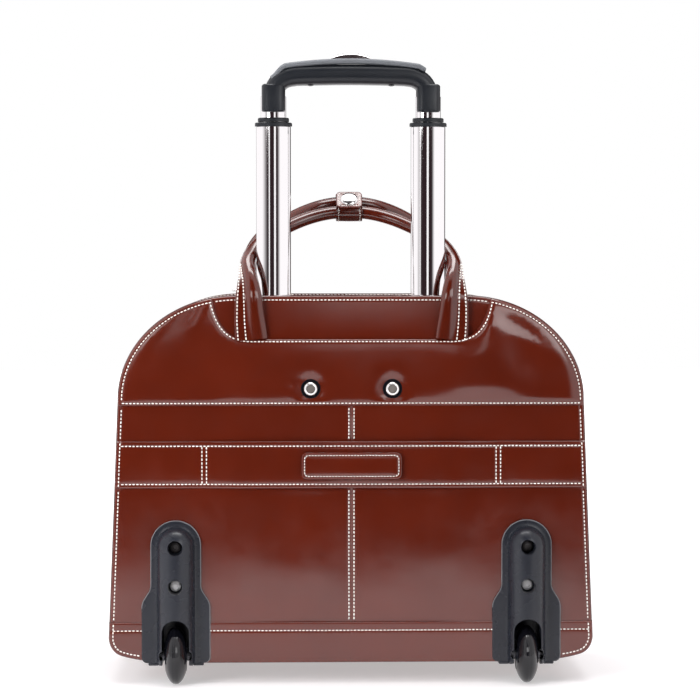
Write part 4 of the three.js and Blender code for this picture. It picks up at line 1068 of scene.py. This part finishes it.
# The soft strip over the bar, drooping further at its left end
STRIP_LEFT, STRIP_RIGHT, STRIP_TOP, STRIP_ARCH = 70.5, 66.5, 47.4, 6.2
strip = []
for x in np.linspace(-STRIP_LEFT, STRIP_RIGHT, 48):
    reach = abs(x) / STRIP_LEFT
    droop = 9.5 * smooth(-x, 58, 72) if x < 0 else 3.0 * smooth(x, 60, 68)
    top = GRIP_LOW + STRIP_TOP - STRIP_ARCH * reach ** 2 - droop
    thick = 5.4 - (2.2 if x > 66 else 0) * smooth(x, 62, 67)
    depth = 11.3 - 1.8 * smooth(abs(x), 62, 71)
    tilt = math.atan2(2 * STRIP_ARCH * x / STRIP_LEFT ** 2 + (-0.45 if x < -60 else 0), 1)
    strip.append(super_ring((x, TUBE_Y, top - thick / 2), (math.sin(tilt), 0, math.cos(tilt)), (0, 1, 0),
                            thick / 2, depth, 3.4, 28))
make("grip_soft_strip", *loft(strip), soft_touch, "soft_touch", body="stage_c", replaces=("grip_cap",),
     angle=50)

# The thumb button, and the small screws under the bar
BUTTON_HALF, BUTTON_DEEP = 17.3, 6.4
button_low, button_high = span("grip_button")
button = []
for k in range(25):
    x = -BUTTON_HALF + 2 * BUTTON_HALF * k / 24
    top = button_high[2] - 3.4 * (abs(x) / BUTTON_HALF) ** 2.2
    button.append(super_ring((x, TUBE_Y, (top + button_low[2]) / 2), (0, 0, 1), (0, 1, 0),
                             (top - button_low[2]) / 2, BUTTON_DEEP, 5.0, 24))
make("grip_thumb_button", *loft(button), nickel, "plated_button", body="button", replaces=("grip_button",),
     angle=50)
UNDER_SCREW = [(0, 0), (2.9, 0), (2.6, -0.9), (1.2, -1.4), (0, -1.45)]
screws = Shell()
for _, s in SIDES:
    screws.add(*turned(UNDER_SCREW, 20, "Z", (s * 36, TUBE_Y - 3, GRIP_LOW + 24.2)))
screws.make("grip_underside_screws", rubber, "nickel", body="stage_c")

# ------------------------------------------------------------ tote handles

# x and depth of the middle line, z, half widths of the rope, and how far the sewn flange reaches out
LEG = [
    (82.6, -4.1, 306.6, 8.2, 2.6, 12.2), (83.6, -4.7, 316, 8.2, 3.2, 11.9), (84.8, -5.2, 327, 7.8, 3.8, 11.3),
    (86.4, -5.6, 345, 7.0, 4.5, 9.6), (89.2, 2.2, 361, 6.0, 5.3, 5.6), (91.8, 16.5, 374, 5.8, 5.7, 1.4),
    (86.6, 33, 386, 5.75, 5.75, 0.7), (76.6, 46, 395.8, 5.75, 5.75, 0.6), (60, 58, 404.8, 5.75, 5.75, 0.6),
    (40, 66.8, 413.6, 5.75, 5.75, 0.6), (20, 71.3, 419, 5.75, 5.75, 0.6), (0, 72.6, 420.6, 5.75, 5.75, 0.6),
]
CROWN_Z = 420.6
BEND_Z = 345.0
REACH = 72.6
HANDLE_RISE = 8.1
DEPTH = FRONT - REAR


def spline(points, count):
    """Catmull-Rom through rows of numbers."""
    p = np.asarray(points, float)
    p = np.concatenate((p[:1] * 2 - p[1:2], p, p[-1:] * 2 - p[-2:-1]))
    out = []
    for t in np.linspace(0, len(points) - 1, count):
        k = min(int(t), len(points) - 2)
        f = t - k
        a, b, c, d = p[k:k + 4]
        out.append(0.5 * (2 * b + (c - a) * f + (2 * a - 5 * b + 4 * c - d) * f * f
                          + (3 * b - a - 3 * c + d) * f ** 3))
    return np.array(out)


def flange_half(rv):
    """Half the thickness of the sewn flange beside a rope of a given half height."""
    return min(1.5, rv * 0.6)


def handle_section(ru, rv, flange):
    """Rope with a flat sewn flange on its outer side; u runs across and v outwards."""
    sheet, ease = flange_half(rv), 0.2 * min(1, flange)
    start = 1.25 * math.asin(min(0.95, sheet / rv))
    tip, steps = ru + flange, (0.12, 0.35, 0.65, 0.9)
    arc = [(ru * math.cos(t), rv * math.sin(t)) for t in np.linspace(start, 2 * math.pi - start, 22)]
    return (arc + [(ru + flange * f, -sheet) for f in steps]
            + [(tip - ease, -sheet * 0.6), (tip, 0), (tip - ease, sheet * 0.6)]
            + [(ru + flange * f, sheet) for f in steps[::-1]])


def handle(name, front):
    """One handle, leg to leg; the front one is further forward and a little higher at its crown."""
    rows = []
    for x, y, z, *section in LEG:
        forward = DEPTH - y - max(0, y / REACH) * (DEPTH - 2 * REACH - HANDLE_RISE) if front else y
        height = z + HANDLE_RISE * (z - BEND_Z) / (CROWN_Z - BEND_Z) if front and z > BEND_Z else z
        rows.append((x, REAR + forward, height, *section))
    right = np.array(rows)
    data = spline(np.concatenate((right, right[:-1][::-1] * (-1, 1, 1, 1, 1, 1))), 132)
    centre = data[:, :3]
    rings, stitch_rows, ups = [], [[], []], []
    for p, t, (ru, rv, flange) in zip(centre, tangents(centre), data[:, 3:]):
        across = -np.cross(t, (0, 1, 0))
        across /= np.linalg.norm(across)
        out = np.cross(across, t)
        rings.append([p + across * u + out * v for u, v in handle_section(ru, rv, flange)])
        ups.append(out if (out[1] > 0) == front else -out)
        for row, share in zip(stitch_rows, (0.2, 0.78)):
            row.append(p + across * (ru + flange * share) + ups[-1] * flange_half(rv))
    # The handle's darker leather copy paints shade on the lamp-lit ropes.
    make(name + "_leather", *loft(rings), handle_leather_painted_shade, "oxblood_leather", replaces=(name,), angle=50)
    sewn = [k for k in range(len(ups)) if data[k, 5] > 1.6 and centre[k][2] > 305]
    half = len(ups) // 2
    for leg in ([k for k in sewn if k < half], [k for k in sewn if k > half]):
        for row in stitch_rows:
            threads.row([row[k] for k in leg], [ups[k] for k in leg])


threads = Stitches()
handle("tote_handle_rear", False)
handle("tote_handle_front", True)
threads.make("stitching_handles", thread, "oxblood_leather", recalc=False)

# ------------------------------------------------------------ keeper

keeper_centre = np.array((0, REAR + REACH + HANDLE_RISE / 2, CROWN_Z + HANDLE_RISE / 2))
tilt = math.pi / 4
across_pair = np.array((0, math.cos(tilt), math.sin(tilt)))
out_of_face = np.array((0, -math.sin(tilt), math.cos(tilt)))
PAIR = HANDLE_RISE / math.sqrt(2)
BAND_IN, BAND_OUT = 6.85, 8.65
TAB_LAP = 4.6


def keeper_point(x, u, n):
    return keeper_centre + np.array((x, 0, 0)) + across_pair * u + out_of_face * n


def stadium(radius, sides=16):
    """Points of (u, n) round the pair of ropes, anticlockwise."""
    quarter = math.pi / 2
    return [(shift + radius * math.cos(t), radius * math.sin(t))
            for shift, start in ((PAIR, -quarter), (-PAIR, quarter))
            for t in np.linspace(start, start + math.pi, sides)]


BAND_HALF, BAND_STITCH = 12.0, 9.75
profile = [(-BAND_HALF, BAND_IN + 0.1)]
profile += [(-BAND_HALF + along, BAND_OUT + out) for along, out in (
    (0, -0.6), (0.25, -0.15), (0.8, 0), (1.7, -0.1), (2.3, -0.35), (2.9, -0.1), (4, 0), (BAND_HALF, 0.12))]
profile += [(-x, r) for x, r in profile[:-1][::-1]]
band = [[keeper_point(x, u, n) for u, n in stadium(r)] for x, r in profile]
# The band's darker leather copy paints its shade under the tab.
make("keeper_band_leather", *loft(band, closed=True), rim_leather_painted_shade, "oxblood_leather",
     replaces=("keeper_band",))
keeper_rows = Stitches()
for _, s in SIDES:
    loop = np.array([keeper_point(s * BAND_STITCH, u, n) for u, n in stadium(BAND_OUT - 0.25, 24)])
    off_axis = loop - keeper_point(s * BAND_STITCH, 0, 0)
    outward = [p - across_pair * np.clip(p.dot(across_pair), -PAIR, PAIR) for p in off_axis]
    keeper_rows.row(loop, np.array([p / np.linalg.norm(p) for p in outward]),
                    pitch=2.5, length=1.8, width=0.6)
keeper_rows.make("stitching_keeper_band", thread, "oxblood_leather", recalc=False)

# The tab over the band, with a stitched groove round it, and the snap's cap
TAB_HALF, TAB_BASE, TAB_ROW = 11.8, BAND_OUT + 0.3, 2.4
tab = []
for shrink, height in ((0.5, 0.0), (0.0, 0.4), (0.0, 1.0), (0.25, 1.45), (0.8, 1.7), (1.8, 1.75),
                       (TAB_ROW, 1.55), (3.0, 1.75), (5.0, 1.85)):
    loop = rounded(TAB_HALF - shrink, PAIR + TAB_LAP - shrink, max(0.3, 4 - shrink), steps=5)
    tab.append([keeper_point(x, u, TAB_BASE + height) for x, u in loop])
make("keeper_tab_leather", *loft(tab), strap_leather, "oxblood_leather", body="keeper_flap",
     replaces=("keeper_tab",))
tab_rows = Stitches()
loop = joined_up(rounded(TAB_HALF - TAB_ROW, PAIR + TAB_LAP - TAB_ROW, 1.8, steps=4))
tab_rows.row([keeper_point(x, u, TAB_BASE + 1.55) for x, u in loop], out_of_face,
             pitch=2.4, length=1.7, width=0.6)
tab_rows.make("stitching_keeper_tab", thread, "oxblood_leather", body="keeper_flap", recalc=False)
SNAP_CAP = [(0, 0), (7.9, 0), (8.05, 0.5), (7.8, 1.0), (7.0, 1.6), (5.5, 2.15), (3.2, 2.5), (0, 2.65)]
verts, faces = turned(SNAP_CAP, 40, "Z", (0, 0, 0))
make("keeper_snap_cap", [keeper_point(x, u, TAB_BASE + 1.7 + n) for x, u, n in verts], faces, nickel,
     "nickel", body="keeper_flap", replaces=("keeper_snap",))

# ------------------------------------------------------------ gussets and main zip

def open_tube_ways(piece):
    """Cuts the two openings for the trolley's tubes through the top of the rear gusset."""
    ways = Shell()
    for _, s in SIDES:
        ways.add(*loft([oval(17.6, 12.0, z, s * TUBE_X, 40) for z in (TOP_Z - 20, TOP_Z + 6)]))
    mesh = bpy.data.meshes.new("tube_way")
    mesh.from_pydata((np.array(ways.verts) * MM).tolist(), [], ways.faces)
    cutter = new_object("tube_way", mesh)
    cut = piece.modifiers.new("tube_way", "BOOLEAN")
    cut.operation, cut.solver, cut.object = "DIFFERENCE", "EXACT", cutter
    bpy.context.view_layer.update()
    done = bpy.data.meshes.new_from_object(piece.evaluated_get(bpy.context.evaluated_depsgraph_get()))
    piece.modifiers.clear()
    piece.data = done
    bpy.data.objects.remove(cutter)


ZIP_HALF = 7.0
hoop_run = upper_run(BAND_TOP + 0.3)
GUSSET_IN, GUSSET_BACK = 5.3, 3.6
for name, y0, y1 in (("gusset_rear", REAR + GUSSET_IN, MID - ZIP_HALF - 0.3),
                     ("gusset_front", MID + ZIP_HALF + 0.3, FRONT - GUSSET_IN)):
    width = y1 - y0
    profile = []
    for f in (0, 0.015, 0.04, 0.08, 0.2, 0.35, 0.5, 0.65, 0.8, 0.92, 0.96, 0.985, 1):
        fall = 0.9 * math.exp(-min(f, 1 - f) * width / 0.7)
        puff = 0.9 * math.sin(math.pi * f) ** 0.7
        profile.append((y0 + f * width, 1.0 + fall - puff))
    profile += [(y1, GUSSET_BACK), (y0, GUSSET_BACK)]
    piece = make(name + "_leather", *sweep(hoop_run, profile), leather, "oxblood_leather", replaces=(name,))
    if name == "gusset_rear":
        open_tube_ways(piece)

tape = [(MID - ZIP_HALF, 1.9), (MID - 2.2, 1.75), (MID - 1.9, 2.3), (MID + 1.9, 2.3), (MID + 2.2, 1.75),
        (MID + ZIP_HALF, 1.9), (MID + ZIP_HALF, 3.6), (MID - ZIP_HALF, 3.6)]
make("main_zip_tape", *sweep(hoop_run, tape), zip_tape, "zip_tape", replaces=("main_zip",))


TEETH_PITCH = 1.7


def teeth(name, spots, ups, alongs):
    """Interlocked zip teeth: small blocks, alternately left and right of the line."""
    shell = Shell()
    around = [(k, (k + 1) % 4) for k in range(4)]
    faces = [(r + k, r + j, r + 4 + j, r + 4 + k) for r in (0, 4) for k, j in around]
    faces += [(3, 2, 1, 0), (8, 9, 10, 11)]
    for count, (p, up, along) in enumerate(zip(spots, ups, alongs)):
        across = np.cross(up, along)
        shift = across * (0.5 if count % 2 else -0.5)
        shell.add([p + shift + up * height + along * (a * half) + across * (b * (1.75 - 0.4 * (height > 1)))
                   for height, half in ((0, 0.62), (0.9, 0.55), (1.15, 0.3))
                   for a, b in ((-1, -1), (1, -1), (1, 1), (-1, 1))], faces)
    shell.make(name, teeth_metal, "nickel", angle=30)


def along_run(run, pitch):
    """Evenly spaced points along a run, with the directions in from them."""
    size = np.concatenate(([0], np.cumsum(np.linalg.norm(np.diff(run, axis=0), axis=1))))
    at = np.arange(pitch, size[-1] - pitch, pitch)
    points = np.stack([np.interp(at, size, run[:, i]) for i in (0, 1)], 1)
    return points, normals_of(points)


points, inward = along_run(hoop_run, TEETH_PITCH)
teeth("main_zip_teeth",
      [np.array((x + n[0] * 2.3, MID, z + n[1] * 2.3)) for (x, z), n in zip(points, inward)],
      [np.array((-n[0], 0, -n[1])) for n in inward], [np.array((n[1], 0, -n[0])) for n in inward])

gusset_rows = Stitches()
points, inward = along_run(hoop_run, 3.0)
for y in (MID - ZIP_HALF - 2.6, MID + ZIP_HALF + 2.6):
    gusset_rows.row([(x + n[0] * 0.55, y, z + n[1] * 0.55) for (x, z), n in zip(points, inward)],
                    [(-n[0], 0, -n[1]) for n in inward])
gusset_rows.make("stitching_gussets", thread, "oxblood_leather", recalc=False)


def slider(node, pull_node, body, pull_body):
    """A zip slider with a bridge, and its pull tab with a hole."""
    low, high = span(node)
    centre = (low + high) / 2
    shell = Shell()
    shell.add(*rounded_box(low, (high[0], high[1], high[2] - 1.6), 0.7))
    bridge = []
    for t in np.linspace(0, math.pi, 9):
        x = centre[0] - 3.4 * math.cos(t)
        z = high[2] - 1.9 + 1.9 * math.sin(t) ** 0.6 - 0.45
        bridge.append([(x, centre[1] + a * 1.4, z + b * 0.4)
                       for a, b in ((-1, -1), (1, -1), (1, 1), (-1, 1))])
    shell.add(*loft(bridge))
    shell.make(node + "_body", nickel, "nickel", body=body, replaces=(node,), angle=45)
    low, high = span(pull_node)
    centre, half = (low + high) / 2, (high - low) / 2
    rings = []
    for shrink, h in ((0.3, -0.7), (0, -0.45), (0, 0.4), (0.25, 0.65), (0.7, 0.7)):
        loop = rounded(half[0] - shrink, half[1] - shrink, max(0.2, 2.1 - shrink), steps=5)
        rings.append([(centre[0] + x, centre[1] + y * (0.82 + 0.18 * abs(x) / half[0]), centre[2] + h)
                      for x, y in loop])
    make(pull_node + "_tab", *loft(rings), nickel, "nickel", body=pull_body, replaces=(pull_node,))


# ------------------------------------------------------------ front face

front_rim = offset(upper_run(LOWER_Z), INSET)
front_loop = np.concatenate(([(0, LOWER_Z)], [p for p in front_rim if p[1] > LOWER_Z + 0.2]))


def front_level(points):
    away = distance_to(points, front_loop, True)
    waves = ripple(points, 95, 0.5, 2.0) * smooth(away, 4, 30)
    return 1.6 + 3.2 * swell(away, 16.0) + waves - groove(points, [EDGE_ROW], width=0.9)


front_edge_line = EDGE_ROW[EDGE_ROW[:, 1] > BAND_TOP + 1]
panel("front_leather", front_loop, front_level, FRONT, 1, leather, replaces=("front_panel",), cell=8,
      lines=[front_edge_line], step=4)
pocket_low, pocket_high = span("front_pocket")
pocket_half = ((pocket_high[0] - pocket_low[0]) / 2, (pocket_high[2] - pocket_low[2]) / 2)
pocket_z = (pocket_high[2] + pocket_low[2]) / 2
pocket_depth = pocket_high[1] - FRONT
pocket_loop = rounded(*pocket_half, 16, steps=10, centre=(0, pocket_z))
POCKET_ROW = joined_up(rounded(pocket_half[0] - 7, pocket_half[1] - 7, 10, steps=8, centre=(0, pocket_z)))


def pocket_level(points):
    away = distance_to(points, pocket_loop, True)
    waves = ripple(points, 80, 0.5, 3.1) * smooth(away, 8, 30)
    puff = 3.2 * swell(np.maximum(away - 6, 0), 18.0) + waves
    return pocket_depth - 1.2 + puff - groove(points, [POCKET_ROW], 0.4)


panel("front_pocket_leather", pocket_loop, pocket_level, FRONT, 1, leather, replaces=("front_pocket",),
      roll=4.5, lines=[POCKET_ROW], cell=8, step=4, back=0.2)
zip_low, zip_high = span("front_pocket_zip")
zip_y = (zip_low[1] + zip_high[1]) / 2
tape = rounded_box((*zip_low[:2], pocket_high[2] - 2), (*zip_high[:2], pocket_high[2] + 0.15), 0.3)
make("front_pocket_zip_tape", *tape, zip_tape, "zip_tape", replaces=("front_pocket_zip",))
xs = np.arange(zip_low[0] + 2, zip_high[0] - 2, TEETH_PITCH)
teeth("front_pocket_zip_teeth", [np.array((x, zip_y, pocket_high[2] - 0.6)) for x in xs],
      [np.array((0, 0, 1.0))] * len(xs), [np.array((1.0, 0, 0))] * len(xs))
for name, _ in SIDES:
    slider(f"main_slider_{name}", f"main_pull_{name}", f"slider_{name}", f"pull_{name}")
slider("front_pocket_slider", "front_pocket_pull", "slider_pocket", "pull_pocket")

front_rows = Stitches()
front_rows.on_panel(front_edge_line, front_level, FRONT, 1)
front_rows.on_panel(POCKET_ROW, pocket_level, FRONT, 1)
front_rows.on_panel(np.array([(-BAND_ROW_END, BAND_ROW_Z), (BAND_ROW_END, BAND_ROW_Z)]), front_band_level,
                    FRONT, 1)
front_rows.make("stitching_front", thread, "oxblood_leather", recalc=False)

# ------------------------------------------------------------ feet, divider and hidden CAD parts

for name, s in SIDES:
    low, high = span(f"front_foot_{name}")
    centre = ((low[0] + high[0]) / 2, (low[1] + high[1]) / 2, 0)
    top = high[2]
    profile = [(0, 0), (10.0, 0), (10.8, 0.3), (11.2, 1.2), (12.7, top - 1.4), (13.0, top), (0, top)]
    make(f"front_foot_{name}_moulded", *turned(profile, 40, "Z", centre), charcoal, "charcoal_plastic",
         replaces=(f"front_foot_{name}",))

low, high = span("laptop_divider")
centre, half = (low + high) / 2, (high - low) / 2
rings = []
for shrink, y in ((2.6, -1.0), (1.0, -0.85), (0.2, -0.5), (0, 0), (0.2, 0.5), (1.0, 0.85), (2.6, 1.0)):
    loop = rounded(half[0] - shrink, half[2] - shrink, 18 - shrink, steps=8)
    rings.append([(centre[0] + x, centre[1] + y * half[1], centre[2] + z) for x, z in loop])
divider = make("laptop_divider_pad", *loft(rings), lining, "lining", replaces=("laptop_divider",))

# The axle's dark look paints the shade in the housings' notches.
HIDDEN_LOOKS = (("base_board", board), ("trolley_sleeve", sleeve_metal), ("wheel_axle", axle_metal_painted_shade),
                ("bracket", charcoal))
for name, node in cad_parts.items():
    for words, surface in HIDDEN_LOOKS:
        if words in name:
            node.data.materials.clear()
            node.data.materials.append(surface)

# ------------------------------------------------------------ floor, light and camera

FLOOR_EDGE, FLOOR_REACH = -0.82, 6         # the floor ends in front, so that low reflections stay dark


def studio_floor():
    """A pale floor that glows more towards its far side."""
    mesh = bpy.data.meshes.new("studio_floor")
    corners = ((-1, FLOOR_EDGE), (1, FLOOR_EDGE), (1, FLOOR_REACH), (-1, FLOOR_REACH))
    mesh.from_pydata([(side * FLOOR_REACH, y, 0) for side, y in corners], [], [(0, 1, 2, 3)])
    surface = material("pale_floor", (0.63, 0.62, 0.63), 0.6, vary=0.005)
    tree = surface.node_tree
    shader = tree.nodes["Principled BSDF"]
    coords = tree.nodes.new("ShaderNodeTexCoord")
    split = tree.nodes.new("ShaderNodeSeparateXYZ")
    far = node_of(tree, "ShaderNodeMapRange", From_Min=0.3, From_Max=1.6, To_Min=0.42, To_Max=1.1)
    tree.links.new(coords.outputs["Object"], split.inputs[0])
    tree.links.new(split.outputs["Y"], far.inputs["Value"])
    tree.links.new(far.outputs["Result"], shader.inputs["Emission Strength"])
    shader.inputs["Emission Color"].default_value = (1, 0.99, 0.99, 1)
    mesh.materials.append(surface)
    new_object("studio_floor", mesh)


studio_floor()


def studio_world():
    """What the object reflects: a white room, dark straight in front of it and straight behind.

    Seen directly, the room is plain white, like the photograph's ground.
    """
    world = bpy.data.worlds.new("studio")
    bpy.context.scene.world = world
    world.use_nodes = True
    tree = world.node_tree
    tree.nodes.clear()
    link = tree.links.new

    def math_node(kind, a, b=None):
        node = tree.nodes.new("ShaderNodeMath")
        node.operation = kind
        for socket, value in zip(node.inputs, (a, b)):
            if value is None:
                continue
            if isinstance(value, (int, float)):
                socket.default_value = value
            else:
                link(value, socket)
        return node.outputs[0]

    def step(value, low, high):
        node = node_of(tree, "ShaderNodeMapRange", From_Min=low, From_Max=high)
        node.interpolation_type = "SMOOTHSTEP"
        link(value, node.inputs["Value"])
        return node.outputs["Result"]

    coords = tree.nodes.new("ShaderNodeTexCoord")
    split = tree.nodes.new("ShaderNodeSeparateXYZ")
    link(coords.outputs["Generated"], split.inputs[0])
    x, y, z = split.outputs
    turn = math_node("ARCTAN2", x, math_node("MULTIPLY", y, -1.0))
    degrees = math_node("MULTIPLY", turn, 180 / math.pi)
    left = step(math_node("MULTIPLY", degrees, -1.0), 24.0, 60.0)
    right = step(degrees, 16.0, 32.0)
    front = math_node("MAXIMUM", left, right)
    behind = math_node("MAXIMUM", step(degrees, 118.0, 128.0),
                       step(math_node("MULTIPLY", degrees, -1.0), 148.0, 156.0))
    value = math_node("SUBTRACT", front, behind)
    value = math_node("MAXIMUM", value, step(z, 0.80, 0.90))
    mix = tree.nodes.new("ShaderNodeMixRGB")
    link(value, mix.inputs["Fac"])
    mix.inputs["Color1"].default_value = (0.030, 0.018, 0.021, 1)
    mix.inputs["Color2"].default_value = (1.12, 1.09, 1.10, 1)
    rays = tree.nodes.new("ShaderNodeLightPath")
    seen = tree.nodes.new("ShaderNodeMixRGB")
    link(rays.outputs["Is Camera Ray"], seen.inputs["Fac"])
    link(mix.outputs[0], seen.inputs["Color1"])
    seen.inputs["Color2"].default_value = (1, 1, 1, 1)
    background = tree.nodes.new("ShaderNodeBackground")
    link(seen.outputs[0], background.inputs["Color"])
    background.inputs["Strength"].default_value = 1.0
    output = tree.nodes.new("ShaderNodeOutputWorld")
    link(background.outputs[0], output.inputs["Surface"])


studio_world()


def softbox(name, place, aim, size, glow, seen=True, lights=True):
    """An area light, which may be kept out of reflections or out of the diffuse light."""
    lamp = bpy.data.lights.new(name, "AREA")
    lamp.shape = "RECTANGLE"
    lamp.size, lamp.size_y = size
    lamp.energy = glow * math.pi * size[0] * size[1]
    light = new_object(name, lamp)
    light.location = place
    light.rotation_euler = (Vector(aim) - Vector(place)).to_track_quat("-Z", "Y").to_euler()
    light.visible_camera = False
    light.visible_glossy = seen
    light.visible_diffuse = lights


STRIP_X, SIDE_X = 0.060, -0.186
softbox("top_light", (0, 0.0, 1.9), (0, 0, 0.3), (1.3, 0.75), 7.5)
softbox("right_light", (0.94, -2.0, 1.13), (0.1, 0, 0.3), (1.2, 0.84), 3.1, lights=False)
softbox("left_light", (-1.05, -2.0, 0.98), (-0.1, 0, 0.3), (0.6, 0.7), 4.2, lights=False)
softbox("key_light", (-0.85, -0.95, 0.60), (-0.1, 0, 0.25), (0.5, 0.7), 10.0, seen=False)
softbox("back_light", (1.4, 2.4, 1.9), (0, 0, 0.25), (1.4, 1.4), 5.0, seen=False)
softbox("centre_strip", (STRIP_X, TUBE_Y * MM - 1.2, 0.47), (STRIP_X, 0, 0.47), (0.17, 0.32), 1.05)
softbox("side_strip", (SIDE_X, TUBE_Y * MM - 0.35, 0.42), (-0.0685, 0, 0.42), (0.032, 0.22), 1.05)

bpy.context.scene.view_settings.view_transform = "Standard"
CAMERA_AWAY, CAMERA_HEIGHT, CAMERA_LENS = 2.0, 0.370, 116.0
CAMERA_TURN = math.radians(-1.7)
target = Vector((-0.0013, REAR * MM, 0.2966))
eye = Vector((target.x + CAMERA_AWAY * math.sin(CAMERA_TURN), target.y - CAMERA_AWAY * math.cos(CAMERA_TURN),
              CAMERA_HEIGHT))
camera_data = bpy.data.cameras.new("camera")
camera_data.lens, camera_data.sensor_width = CAMERA_LENS, 36.0
camera = new_object("camera", camera_data)
camera.location = eye
camera.rotation_euler = (target - eye).to_track_quat("-Z", "Y").to_euler()
bpy.context.scene.camera = camera
